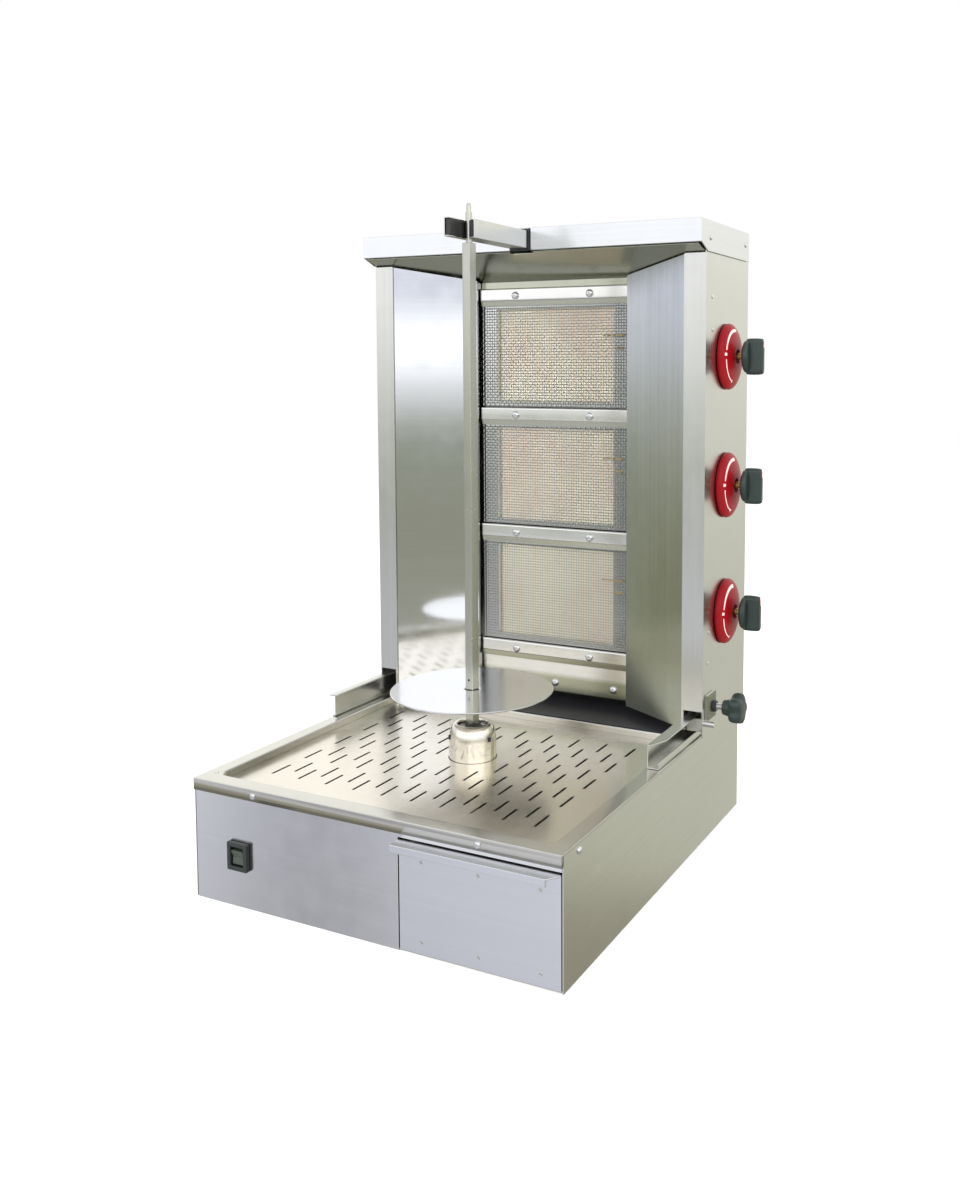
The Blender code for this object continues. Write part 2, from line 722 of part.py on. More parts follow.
def hub():
    """Turned socket on top of the shaft: a straight body, a domed shoulder and a square socket."""
    bottom = TRAY_BOTTOM - 0.002
    steps = 5
    dome = [
        (
            HUB_SHOULDER + (HUB_TOP - HUB_SHOULDER) * math.sin(0.5 * math.pi * i / steps),
            HUB_TOP_RADIUS + (HUB_RADIUS - HUB_TOP_RADIUS) * math.cos(0.5 * math.pi * i / steps),
        )
        for i in range(steps + 1)
    ]
    body = add("hub", turned([(bottom, HUB_RADIUS), *dome], (0.0, SPIT_Y), "Z", 28), "polished_steel")
    shaft_hole = rod(
        (0.0, SPIT_Y), SHAFT_RADIUS + 0.0003, "Z", bottom - 0.01, BASE_HEIGHT + 0.0125, 24
    )
    cut(body, shaft_hole)
    cut(body, spit_bar(SPIT_SIDE / 2 + GAP, BASE_HEIGHT + 0.0135, HUB_TOP + 0.02))
    return smooth(body)


def spit_bar(half_side, low, high):
    corner = half_side * math.sqrt(2)
    outline = ring_points(corner, 4, (0.0, SPIT_Y), SPIT_REST_TURN + math.pi / 4)
    return prism(outline, "Z", low, high)


def spit():
    """Square bar with a round pin on top that stands in the arm's slot."""
    bar = add("spit", spit_bar(SPIT_SIDE / 2, BASE_HEIGHT + 0.014, SPIT_TOP), "polished_steel")
    pin = turned(
        [
            (SPIT_TOP - 0.001, PIN_RADIUS),
            (SPIT_TOP + PIN_HEIGHT - 0.002, PIN_RADIUS),
            (SPIT_TOP + PIN_HEIGHT, PIN_RADIUS * 0.6),
        ],
        (0.0, SPIT_Y),
        "Z",
        12,
    )
    return join(bar, pin)


def meat_disc():
    """Round plate that carries the meat, with a sleeve that stands on the hub."""
    profile = [
        (DISC_TOP - DISC_SLEEVE_LENGTH, DISC_SLEEVE_RADIUS),
        (DISC_TOP - DISC_THICKNESS, DISC_SLEEVE_RADIUS),
        (DISC_TOP - DISC_THICKNESS, DISC_RADIUS),
        (DISC_TOP, DISC_RADIUS),
    ]
    disc = add("meat_disc", turned(profile, (0.0, SPIT_Y), "Z", 48), "stainless_sheet")
    cut(disc, spit_bar(SPIT_SIDE / 2 + GAP, HUB_TOP + 0.01, DISC_TOP + 0.02))
    return smooth(disc)


# ---------------------------------------------------------------- burner column shell
def side_panel(name, side):
    """Side sheet of the column with its front flange, its rail notch and the runner inside."""
    outer = side * HALF_COLUMN
    flange = side * (HALF_COLUMN - COLUMN_FLANGE)
    top = COLUMN_HEIGHT - SHEET - 0.0015
    rear = REAR - SHEET - GAP
    points = [(flange, COLUMN_FRONT), (outer, COLUMN_FRONT), (outer, rear)]
    panel = add(name, bent_sheet(points, side * SHEET, "Z", COLUMN_BOTTOM, top), "stainless_sheet")
    wide = HALF_COLUMN + 0.01
    inner_wall = HALF_COLUMN - SHEET
    flange_top = deflector_underside(COLUMN_FRONT + SHEET) - 0.001
    low, high = sorted((side * 0.10, side * (inner_wall + 0.0002)))
    cut(panel, block((low, COLUMN_FRONT - 0.01, flange_top), (high, COLUMN_FRONT + 0.006, top + 0.01)))
    notch = HALF_BASE - RAIL_NOTCH_INSET
    low, high = sorted((side * notch, side * inner_wall))
    cut(
        panel,
        block(
            (low, COLUMN_FRONT - 0.01, COLUMN_BOTTOM - 0.01),
            (high, COLUMN_FRONT + 0.006, RAIL_TOP + RAIL_NOTCH_ABOVE),
        ),
    )
    rail_inset = RIGHT_RAIL_INSET if side > 0 else LEFT_RAIL_INSET
    runner_in = HALF_BASE - (rail_inset - SHEET - 0.001)
    low_z = RAIL_BOTTOM + (RAIL_LIP + 0.001 if side > 0 else 0.003)
    low, high = sorted((side * runner_in, side * (inner_wall + SHEET / 2)))
    join(
        panel,
        block(
            (low, COLUMN_FRONT + 0.004, low_z),
            (high, RAIL_REAR - 0.004, RAIL_TOP - SHEET - 0.001),
        ),
    )
    control_holes = bmesh.new()
    if side > 0:
        wide = HALF_COLUMN + 0.01
        half = CLAMP_PLATE / 2
        join(
            panel,
            block(
                (inner_wall + SHEET / 2, CLAMP_Y - half * 0.9, CLAMP_Z - half),
                (HALF_COLUMN + 0.0025, CLAMP_Y + half * 0.9, CLAMP_Z + half),
            ),
        )
        for z in burner_centres():
            rod(
                (CONTROL_Y, z - KNOB_BELOW_CENTRE), 0.0075, "X", inner_wall - 0.01, wide, 16, control_holes
            )
        rod(
            (CLAMP_Y, CLAMP_Z), CLAMP_STUD_RADIUS + RUNNING_CLEARANCE, "X", inner_wall - 0.01, wide, 16,
            control_holes,
        )
        cut(panel, control_holes)
    else:
        control_holes.free()
    return panel


def back_panel():
    """Back sheet of the column with rows of vents and the gas pipe's hole."""
    half = HALF_COLUMN - SHEET - GAP
    top = COLUMN_HEIGHT - SHEET - 0.0015
    panel = add(
        "back_panel", block((-half, REAR - SHEET, COLUMN_BOTTOM), (half, REAR, top)), "stainless_sheet"
    )
    vents = bmesh.new()
    for z in burner_centres():
        for row in (-0.012, 0.012):
            for x in (-0.110, 0.0, 0.110):
                low, high = z + row - 0.003, z + row + 0.003
                block((x - 0.040, REAR - 0.01, low), (x + 0.040, REAR + 0.01, high), vents)
    cut(panel, vents)
    notch = HALF_BASE - RAIL_NOTCH_INSET
    for low, high in ((-half - 0.01, -notch), (notch, half + 0.01)):
        ends = (COLUMN_BOTTOM - 0.01, RAIL_TOP + RAIL_NOTCH_ABOVE)
        cut(panel, block((low, REAR - 0.01, ends[0]), (high, REAR + 0.01, ends[1])))
    return cut(panel, rod((HALF_COLUMN - 0.045, GAS_INLET_Z), 0.011, "Y", REAR - 0.01, REAR + 0.01, 16))


def hood():
    """Cap of the column: top, front face, two sides and a back flange, open below."""
    top, bottom = COLUMN_HEIGHT, HOOD_BOTTOM
    face = COLUMN_HEIGHT - HOOD_FRONT_FACE
    rear = REAR - SHEET - 0.006
    outline = [(HOOD_FRONT, top), (rear, top), (rear, bottom), (COLUMN_FRONT, bottom), (HOOD_FRONT, face)]
    cap = add("hood", prism(outline, "X", -HALF_HOOD, HALF_HOOD), "stainless_sheet")
    inner = [
        (HOOD_FRONT + SHEET, top - SHEET),
        (REAR + 0.02, top - SHEET),
        (REAR + 0.02, bottom - 0.02),
        (HOOD_FRONT + SHEET, bottom - 0.02),
    ]
    cut(cap, prism(inner, "X", -HALF_HOOD + SHEET, HALF_HOOD - SHEET))
    half = ARM_WIDTH / 2 + GUIDE_WALL + 2 * GAP
    slot = block(
        (-half, HOOD_FRONT - 0.01, face - 0.01), (half, HOOD_FRONT + 0.006, top - SHEET - 0.0001)
    )
    return cut(cap, slot)


def heat_deflector():
    """Sloping liner under the hood that ends in a strip over the top bracket."""
    front = HOOD_FRONT + SHEET + 0.001
    rear = BURNER_FRONT + 0.006
    low = deflector_underside(rear)
    points = [(front, deflector_underside(front)), (rear, low), (rear, low - DEFLECTOR_STRIP)]
    half = HALF_COLUMN - SHEET - 0.0008
    liner = add("heat_deflector", bent_sheet(points, 0.0012, "X", -half, half), "stainless_sheet")
    slot = ARM_WIDTH / 2 + GUIDE_WALL + 0.002
    cut(liner, block((-slot, front - 0.01, low), (slot, GUIDE_REAR + 0.001, COLUMN_HEIGHT)))
    below = blocks(
        [
            ((HALF_BAY - 0.001, WING_BACK - 0.004, low - 0.05), (HALF_COLUMN + 0.02, REAR, low - 0.0004)),
            ((-HALF_COLUMN - 0.02, WING_BACK - 0.004, low - 0.05), (-HALF_BAY + 0.001, REAR, low - 0.0004)),
        ]
    )
    return cut(liner, below)


def wing(name, side):
    """Slanting reflector from the column's front flange to the burner bay, with a return beside it."""
    tab = HALF_COLUMN - COLUMN_FLANGE + 0.003
    plan = [
        (side * tab, COLUMN_FRONT + SHEET + GAP),
        (side * (tab - 0.004), COLUMN_FRONT + SHEET + GAP),
        (side * HALF_BAY, WING_BACK),
        (side * HALF_BAY, WING_BACK + WING_RETURN),
    ]
    outline = folded(plan, -side * WING_SHEET)
    mesh = bmesh.new()
    low = [mesh.verts.new((x, y, WING_BOTTOM)) for x, y in outline]
    high = [
        mesh.verts.new((x, y, min(deflector_underside(y), deflector_underside(y + WING_SHEET)) - 0.0015))
        for x, y in outline
    ]
    count = len(plan)
    for i in range(count - 1):
        a, b, c, d = i, i + 1, 2 * count - 2 - i, 2 * count - 1 - i
        mesh.faces.new((low[a], low[b], low[c], low[d]))
        mesh.faces.new((high[a], high[b], high[c], high[d]))
    for i in range(2 * count):
        j = (i + 1) % (2 * count)
        mesh.faces.new((low[i], low[j], high[j], high[i]))
    return add(name, mesh, "stainless_sheet")


def lower_panel():
    """Sheet below the lowest burner bracket that closes the bay down to the deck."""
    half = HALF_BAY - WING_SHEET - 0.0012
    top = bracket_centres()[-1] - BRACKET_FACE / 2 - 0.0015
    front = BURNER_FRONT + 0.004
    points = [
        (front + 0.020, top),
        (front, top),
        (front, WING_BOTTOM + 0.002),
        (front + 0.014, WING_BOTTOM + 0.002),
    ]
    return add("lower_panel", bent_sheet(points, SHEET, "X", -half, half), "stainless_sheet")


# ---------------------------------------------------------------- burners
def bracket(number, z):
    """Channel across the bay that holds the edges of the burners above and below it."""
    half = HALF_BAY - WING_SHEET - 0.0012
    face = BRACKET_FACE / 2
    back = BURNER_FRONT + BRACKET_DEPTH
    points = [(back, z + face), (BURNER_FRONT, z + face), (BURNER_FRONT, z - face), (back, z - face)]
    return add(f"bracket_{number}", bent_sheet(points, SHEET, "X", -half, half), "stainless_sheet")


def burner_body(number, z):
    """Burner box with a recess for its plaque and a mixing tube on its right side."""
    half_w, half_h = BURNER_BODY_WIDTH / 2, BURNER_BODY_HEIGHT / 2
    front = BURNER_FRONT + BURNER_BODY_SET_BACK
    back = front + BURNER_BODY_DEPTH
    seat = BURNER_FRONT + CERAMIC_SET_BACK + CERAMIC_THICKNESS + GAP
    body = add(
        f"burner_{number}",
        block((-half_w, front, z - half_h), (half_w, back, z + half_h)),
        "polished_steel",
    )
    tube = (CONTROL_Y, z - KNOB_BELOW_CENTRE)
    join(body, rod(tube, VENTURI_RADIUS, "X", half_w - 0.004, half_w + VENTURI_LENGTH, 16))
    seat_w, seat_h = CERAMIC_WIDTH / 2 + GAP, CERAMIC_HEIGHT / 2 + GAP
    cut(
        body,
        block(
            (-seat_w, front - 0.01, z - seat_h),
            (seat_w, seat, z + seat_h),
        ),
    )
    plenum = blocks(
        [
            (
                (-seat_w + 0.006, front, z - seat_h + 0.006),
                (seat_w - 0.006, back - SHEET, z + seat_h - 0.006),
            )
        ]
    )
    cut(body, plenum)
    return cut(body, rod(tube, VENTURI_RADIUS - SHEET, "X", seat_w - 0.010, half_w + 0.05, 16))


def ceramic(number, z):
    """Infrared plaque seated in the burner box."""
    half_w, half_h = CERAMIC_WIDTH / 2, CERAMIC_HEIGHT / 2
    front = BURNER_FRONT + CERAMIC_SET_BACK
    return add(
        f"ceramic_{number}",
        block((-half_w, front, z - half_h), (half_w, front + CERAMIC_THICKNESS, z + half_h)),
        "ceramic",
    )


def guard_mesh(number, z):
    """Wire guard before the plaque, as a lattice of flat bars."""
    half_w = HALF_BAY - WING_SHEET - 0.0022
    half_h = (BURNER_PITCH - BRACKET_FACE) / 2 - 0.0012
    middle = z + BURNER_BELOW_MIDDLE
    front = BURNER_FRONT + 0.0022
    guard = add(
        f"guard_{number}",
        block((-half_w, front, middle - half_h), (half_w, front + 0.0020, middle + half_h)),
        "wire_mesh",
    )
    windows = bmesh.new()
    cell_w = (2 * half_w - MESH_BAR) / MESH_BARS_X
    cell_h = (2 * half_h - MESH_BAR) / MESH_BARS_Z
    for column in range(MESH_BARS_X):
        for row in range(MESH_BARS_Z):
            x = -half_w + MESH_BAR + column * cell_w
            low = middle - half_h + MESH_BAR + row * cell_h
            far = (x + cell_w - MESH_BAR, front + 0.01, low + cell_h - MESH_BAR)
            block((x, front - 0.01, low), far, windows)
    return cut(guard, windows)


# ---------------------------------------------------------------- gas train
def valve(number, z):
    """Gas tap behind the right side, with the injector that points into the mixing tube."""
    wall = HALF_COLUMN - SHEET
    right = wall - 0.001
    left = right - VALVE_SIDE * 1.5
    half = VALVE_SIDE / 2
    level = z - KNOB_BELOW_CENTRE
    body = add(
        f"valve_{number}",
        block((left, CONTROL_Y - half, level - half), (right, CONTROL_Y + half, level + half)),
        "brass",
    )
    injector_end = BURNER_BODY_WIDTH / 2 + VENTURI_LENGTH + 0.003
    join(body, rod((CONTROL_Y, level), 0.0055, "X", injector_end, left + 0.002, 12))
    bore = STEM_RADIUS + 0.0005
    return cut(body, rod((CONTROL_Y, level), bore, "X", right - 0.030, right + 0.01, 16))


def gas_manifold():
    """Upright pipe behind the valves with a branch to each, and the inlet through the back."""
    x = HALF_COLUMN - SHEET - 0.001 - VALVE_SIDE * 0.75
    y = CONTROL_Y + VALVE_SIDE / 2 + 0.020
    centres = [z - KNOB_BELOW_CENTRE for z in burner_centres()]
    pipe = add(
        "gas_manifold",
        rod((x, y), MANIFOLD_RADIUS, "Z", GAS_INLET_Z - 0.012, centres[0] + 0.020, 12),
        "brass",
    )
    branches = bmesh.new()
    for z in centres:
        rod((x, z), 0.005, "Y", CONTROL_Y + VALVE_SIDE / 2 + GAP, y, 12, branches)
    join(pipe, branches)
    inlet = turned(
        [(y, 0.0065), (REAR + 0.012, 0.0065), (REAR + 0.012, 0.0095), (REAR + 0.024, 0.0095)],
        (HALF_COLUMN - 0.045, GAS_INLET_Z),
        "Y",
        12,
    )
    join(pipe, inlet)
    link = block(
        (HALF_COLUMN - 0.045 - 0.004, y - 0.005, GAS_INLET_Z - 0.005), (x, y + 0.005, GAS_INLET_Z + 0.005)
    )
    return join(pipe, link)


def dial(number, z):
    """Round dished scale plate on the side panel behind a gas knob."""
    wall = HALF_COLUMN + 0.0003
    face = wall + DIAL_THICKNESS
    level = z - KNOB_BELOW_CENTRE
    profile = [
        (wall, DIAL_RADIUS - 0.001),
        (wall + 0.003, DIAL_RADIUS),
        (face - 0.003, DIAL_RADIUS),
        (face, DIAL_RADIUS - 0.003),
        (face - DIAL_DISH, DIAL_RADIUS - 0.018),
    ]
    plate = add(f"dial_{number}", turned(profile, (CONTROL_Y, level), "X", 32), "red_plastic")
    cut(plate, rod((CONTROL_Y, level), 0.0070, "X", wall - 0.01, face + 0.01, 16))
    return smooth(plate)


def plunger(number, z):
    """Valve stem that slides in when the knob is pressed."""
    wall = HALF_COLUMN
    level = z - KNOB_BELOW_CENTRE
    return smooth(
        add(
            f"valve_stem_{number}",
            turned(
                [(wall - 0.018, STEM_RADIUS), (wall + KNOB_REACH + STEM_IN_KNOB, STEM_RADIUS)],
                (CONTROL_Y, level),
                "X",
                12,
            ),
            "brass",
        )
    )


def knob(number, z):
    """Bar-grip gas knob: a round skirt and an upright rounded bar."""
    level = z - KNOB_BELOW_CENTRE
    pivot = empty(f"knob_axis_{number}", (HALF_COLUMN, CONTROL_Y, level))
    back = KNOB_REACH
    skirt = add(
        f"knob_{number}",
        turned(
            [
                (back, KNOB_SKIRT_RADIUS - 0.003),
                (back + 0.004, KNOB_SKIRT_RADIUS),
                (back + 0.008, KNOB_SKIRT_RADIUS - 0.002),
            ],
            (0.0, 0.0),
            "X",
            24,
        ),
        "black_plastic",
    )
    skirt.parent = pivot
    half = KNOB_SPAN / 2
    corner = 0.007
    outline = [
        (-KNOB_GRIP / 2, -half + corner),
        (-KNOB_GRIP / 2 + 0.003, -half),
        (KNOB_GRIP / 2 - 0.003, -half),
        (KNOB_GRIP / 2, -half + corner),
        (KNOB_GRIP / 2, half - corner),
        (KNOB_GRIP / 2 - 0.003, half),
        (-KNOB_GRIP / 2 + 0.003, half),
        (-KNOB_GRIP / 2, half - corner),
    ]
    grip = add(f"knob_grip_{number}", prism(outline, "X", back + 0.002, back + KNOB_DEPTH), None)
    grip.parent = pivot
    hide_cutter(grip)
    step = skirt.modifiers.new("grip", "BOOLEAN")
    step.operation = "UNION"
    step.object = grip
    socket = rod((0.0, 0.0), STEM_RADIUS + GAP, "X", back - 0.01, back + STEM_IN_KNOB + GAP, 16)
    bore = add(f"knob_bore_{number}", socket, None)
    bore.parent = pivot
    hide_cutter(bore)
    step = skirt.modifiers.new("bore", "BOOLEAN")
    step.object = bore
    return skirt


# ---------------------------------------------------------------- clamp
def clamp_pad():
    """Foot at the stud's end that presses on the edge of the right rail."""
    face = HALF_BASE - RIGHT_RAIL_INSET + RAIL_FLANGE + 0.0015
    low = RAIL_TOP - SHEET - GAP
    return add(
        "clamp_pad",
        block((face, CLAMP_Y - 0.014, low), (face + 0.0032, CLAMP_Y + 0.014, CLAMP_Z + 0.010)),
        "black_plastic",
    )


def clamp_knob():
    """Lobed knob on its threaded stud."""
    pivot = empty("clamp_axis", (HALF_COLUMN, CLAMP_Y, CLAMP_Z))
    lobes, samples = 5, 4
    outline = []
    for i in range(lobes * samples):
        angle = 2 * math.pi * i / (lobes * samples)
        radius = CLAMP_KNOB_RADIUS * (0.90 + 0.10 * math.cos(lobes * angle))
        outline.append((radius * math.cos(angle), radius * math.sin(angle)))
    reach = CLAMP_KNOB_REACH
    star = add(
        "clamp_knob", prism(outline, "X", reach, reach + CLAMP_KNOB_DEPTH), "black_plastic"
    )
    star.parent = pivot
    pad_end = HALF_BASE - RIGHT_RAIL_INSET + RAIL_FLANGE + 0.0015 + 0.0032 + 0.0003 - HALF_COLUMN
    stud = turned(
        [
            (pad_end, CLAMP_STUD_RADIUS),
            (reach - 0.010, CLAMP_STUD_RADIUS),
            (reach - 0.008, CLAMP_STUD_RADIUS + 0.006),
            (reach + 0.002, CLAMP_STUD_RADIUS + 0.007),
        ],
        (0.0, 0.0),
        "X",
        16,
    )
    stem = add("clamp_knob_stud", stud, None)
    stem.parent = pivot
    hide_cutter(stem)
    step = star.modifiers.new("stud", "BOOLEAN")
    step.operation = "UNION"
    step.object = stem
    return star


# ---------------------------------------------------------------- top arm
def arm_guide():
    """Black liner of the hood's slot that the arm slides through."""
    half = ARM_WIDTH / 2 + GUIDE_WALL + GAP
    low, high = ARM_BOTTOM - GUIDE_WALL - GAP, COLUMN_HEIGHT - SHEET - GAP
    liner = add(
        "arm_guide",
        block((-half, GUIDE_REAR - GUIDE_DEPTH, low), (half, GUIDE_REAR, high)),
        "black_plastic",
    )
    inner = ARM_WIDTH / 2 + GAP
    return cut(
        liner,
        block(
            (-inner, HOOD_FRONT - 0.01, ARM_BOTTOM - GAP), (inner, HOOD_FRONT + 0.03, ARM_TOP + GAP)
        ),
    )


def arm():
    """Square tube that reaches over the spit; its open end is slotted for the pin."""
    half = ARM_WIDTH / 2
    tube = add(
        "arm",
        block((-half, ARM_FRONT, ARM_BOTTOM), (half, ARM_FRONT + ARM_LENGTH, ARM_TOP)),
        "stainless_sheet",
    )
    cut(
        tube,
        block(
            (-half + ARM_WALL, ARM_FRONT - 0.01, ARM_BOTTOM + ARM_WALL),
            (half - ARM_WALL, ARM_FRONT + ARM_LENGTH + 0.01, ARM_TOP - ARM_WALL),
        ),
    )
    slot = PIN_RADIUS + 0.0016
    cut(tube, block((-slot, ARM_FRONT - 0.01, ARM_BOTTOM - 0.01), (slot, SPIT_Y + slot, ARM_TOP + 0.01)))
    return cut(
        tube,
        block(
            (0.0, ARM_FRONT - 0.01, ARM_BOTTOM - 0.01),
            (half + 0.01, ARM_FRONT + ARM_SLOT_SIDE_CUT, ARM_TOP + 0.01),
        ),
    )


def arm_pin_block():
    """Black slotted block inside the arm's end that steadies the pin."""
    half = ARM_WIDTH / 2 - ARM_WALL - GAP
    low, high = ARM_BOTTOM + ARM_WALL + GAP, ARM_TOP - ARM_WALL - GAP
    front = ARM_FRONT + 0.002
    body = add("arm_pin_block", block((-half, front, low), (half, SPIT_Y + 0.024, high)), "black_plastic")
    slot = PIN_RADIUS + 0.0008
    cut(body, block((-slot, front - 0.01, low - 0.01), (slot, SPIT_Y + slot, high + 0.01)))
    return cut(
        body,
        block(
            (0.0, front - 0.01, low - 0.01),
            (half + 0.01, ARM_FRONT + ARM_SLOT_SIDE_CUT + 0.001, high + 0.01),
        ),
    )


def build():
    clear_scene()
    for make in (
        base_shell, base_floor, base_front_panel, deck_frame, tray_plate, deck_floor_plate,
        left_rail, right_rail, drip_chute, gear_motor, rocker_bezel, rocker, cable_gland,
        drawer_front, drawer_pan,
        output_gear, motor_pinion, output_shaft, hub, spit, meat_disc,
        back_panel, hood, heat_deflector, lower_panel,
        gas_manifold, clamp_pad, clamp_knob, arm_guide, arm, arm_pin_block,
    ):
        make()
    for side, word in ((-1, "left"), (1, "right")):
        side_panel(f"side_panel_{word}", side)
        wing(f"wing_{word}", side)
    for number, z in enumerate(bracket_centres(), start=1):
        bracket(number, z)
    for number, z in enumerate(burner_centres(), start=1):
        burner_body(number, z)
        ceramic(number, z)
        guard_mesh(number, z)
        valve(number, z)
        dial(number, z)
        plunger(number, z)
        knob(number, z)


build()
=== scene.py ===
"""Looks for a table-top vertical broiler with three infrared gas burners.

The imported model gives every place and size. Each sub-assembly is a class that makes its fine pieces
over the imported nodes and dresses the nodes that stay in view.
"""

import logging
import math
from dataclasses import dataclass, field
from enum import Enum

import bmesh
import bpy
import numpy as np
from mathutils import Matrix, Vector


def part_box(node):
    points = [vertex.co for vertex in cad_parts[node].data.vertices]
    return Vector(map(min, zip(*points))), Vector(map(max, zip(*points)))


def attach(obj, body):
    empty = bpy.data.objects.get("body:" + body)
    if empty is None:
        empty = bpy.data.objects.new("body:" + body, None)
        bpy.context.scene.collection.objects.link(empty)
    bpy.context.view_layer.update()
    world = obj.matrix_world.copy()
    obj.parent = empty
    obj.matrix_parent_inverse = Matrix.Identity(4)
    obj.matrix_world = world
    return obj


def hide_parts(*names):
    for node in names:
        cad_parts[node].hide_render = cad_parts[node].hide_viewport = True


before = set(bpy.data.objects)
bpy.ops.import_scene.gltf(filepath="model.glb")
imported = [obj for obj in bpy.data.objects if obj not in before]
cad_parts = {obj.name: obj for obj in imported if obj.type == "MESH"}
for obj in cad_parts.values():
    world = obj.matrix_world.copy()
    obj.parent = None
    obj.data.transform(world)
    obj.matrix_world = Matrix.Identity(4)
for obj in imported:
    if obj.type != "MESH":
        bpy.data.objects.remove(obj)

Array = np.ndarray
Object = bpy.types.Object
Material = bpy.types.Material
Node = bpy.types.Node
Socket = bpy.types.NodeSocket
Tree = bpy.types.NodeTree
Pair = tuple[float, float]
Point = tuple[float, float, float]
Colour = tuple[float, float, float, float]
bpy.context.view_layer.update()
LOG = logging.getLogger("broiler")
SIDES = ((-1.0, "left"), (1.0, "right"))
WELD_DISTANCE = 1e-6  # closer points are one point
SHARPEST = 1e-5  # smallest corner radius of an outline


class Axis(Enum):
    """Direction a shape is carried along; the value gives the two cross axes and the axis itself."""

    X = (1, 2, 0)
    Y = (0, 2, 1)
    Z = (0, 1, 2)


# ---------------------------------------------------------------- meshes
def put_mesh(name: str, points: Array, faces: list, sharp: float = 35.0) -> Object:
    """Makes a closed, outward-facing mesh object at the origin.

    Args:
        name: name of the piece.
        points: vertex places, one row each, in metres.
        faces: vertex indices of each face.
        sharp: angle in degrees past which an edge stays sharp.

    Returns:
        The new object, in the scene.
    """
    mesh = bpy.data.meshes.new(name)
    mesh.from_pydata(points.reshape(-1, 3).tolist(), [], faces)
    work = bmesh.new()
    work.from_mesh(mesh)
    bmesh.ops.remove_doubles(work, verts=work.verts, dist=WELD_DISTANCE)
    bmesh.ops.recalc_face_normals(work, faces=work.faces)
    work.to_mesh(mesh)
    work.free()
    mesh.shade_smooth()
    mesh.set_sharp_from_angle(angle=math.radians(sharp))
    piece = bpy.data.objects.new(name, mesh)
    bpy.context.scene.collection.objects.link(piece)
    flat = piece.modifiers.new("flat_faces", "WEIGHTED_NORMAL")
    flat.keep_sharp, flat.weight = True, 90
    return piece


def grid_faces(rows: int, columns: int, first: int = 0) -> list:
    """Quads of closed rows of points: each joins a point, the next in its row and those a row on.

    Args:
        rows: number of rows.
        columns: points in each row.
        first: index of the grid's first point.

    Returns:
        A list of four indices for each quad.
    """
    row, column = np.meshgrid(np.arange(rows - 1), np.arange(columns), indexing="ij")
    near, far = row * columns, (row + 1) * columns
    after = (column + 1) % columns
    corners = [near + column, near + after, far + after, far + column]
    return (np.stack(corners, axis=-1).reshape(-1, 4) + first).tolist()


def closed_rows(name: str, points: Array, sharp: float = 35.0) -> Object:
    """Skins rows of closed rings and closes the first and last ring with a face."""
    rows, columns = points.shape[:2]
    last = (rows - 1) * columns
    faces = grid_faces(rows, columns)
    faces += [list(range(columns)), list(range(last, last + columns))]
    return put_mesh(name, points, faces, sharp)


def on_axis(first: Array, second: Array, along: Array, axis: Axis) -> Array:
    """Stacks two cross coordinates and a distance along the axis as X, Y, Z points."""
    places = [None, None, None]
    for index, values in zip(axis.value, (first, second, along)):
        places[index] = values
    return np.stack(np.broadcast_arrays(*places), axis=-1).astype(float)


def ring_at(outline: Array, centre: Pair, level: float, axis: Axis) -> Array:
    """Places a flat outline about a centre, across the axis at a level."""
    return on_axis(centre[0] + outline[:, 0], centre[1] + outline[:, 1], np.full(len(outline), level), axis)


def revolved(
    name: str, profile: list, centre: Pair, axis: Axis, segments: int = 64, lobes: int = 0,
    lobe_depth: float = 0.0, sharp: float = 35.0,
) -> Object:
    """Turns a profile: at angle t and place s the point is centre + r(s)(1 + d cos(n t))(cos t, sin t).

    Args:
        name: name of the piece.
        profile: (distance along the axis, radius) pairs; a radius of zero makes a closed pole, and a
            profile that ends where it starts makes a hollow ring.
        centre: the axis's place in the two cross axes.
        axis: direction of the axis.
        segments: points round the axis.
        lobes: number n of lobes round the rim, or none.
        lobe_depth: the share d by which a lobe stands out.
        sharp: angle in degrees past which an edge stays sharp.

    Returns:
        The turned piece.
    """
    line = np.array(profile, float)
    turn = np.linspace(0.0, 2 * np.pi, segments, endpoint=False)[None, :]
    reach = line[:, 1][:, None] * (1.0 + lobe_depth * np.cos(lobes * turn))
    across, up = centre[0] + reach * np.cos(turn), centre[1] + reach * np.sin(turn)
    rings = on_axis(across, up, line[:, 0][:, None], axis)
    if profile[0] == profile[-1]:
        return put_mesh(name, rings, grid_faces(*rings.shape[:2]), sharp)
    return closed_rows(name, rings, sharp)


def rounded_rectangle(half: Pair, corner: float, steps: int = 6) -> Array:
    """Outline of a rectangle whose corners are quarter circles, anticlockwise from the right side."""
    turn = np.linspace(0.0, np.pi / 2, steps)
    quarters = np.arange(4) * np.pi / 2
    angles = (quarters[:, None] + turn[None, :]).reshape(-1)
    sign_a = np.repeat(np.array([1.0, -1.0, -1.0, 1.0]), steps)
    sign_b = np.repeat(np.array([1.0, 1.0, -1.0, -1.0]), steps)
    corner = max(corner, SHARPEST)
    across = sign_a * (half[0] - corner) + corner * np.cos(angles)
    up = sign_b * (half[1] - corner) + corner * np.sin(angles)
    return np.stack([across, up], axis=-1)


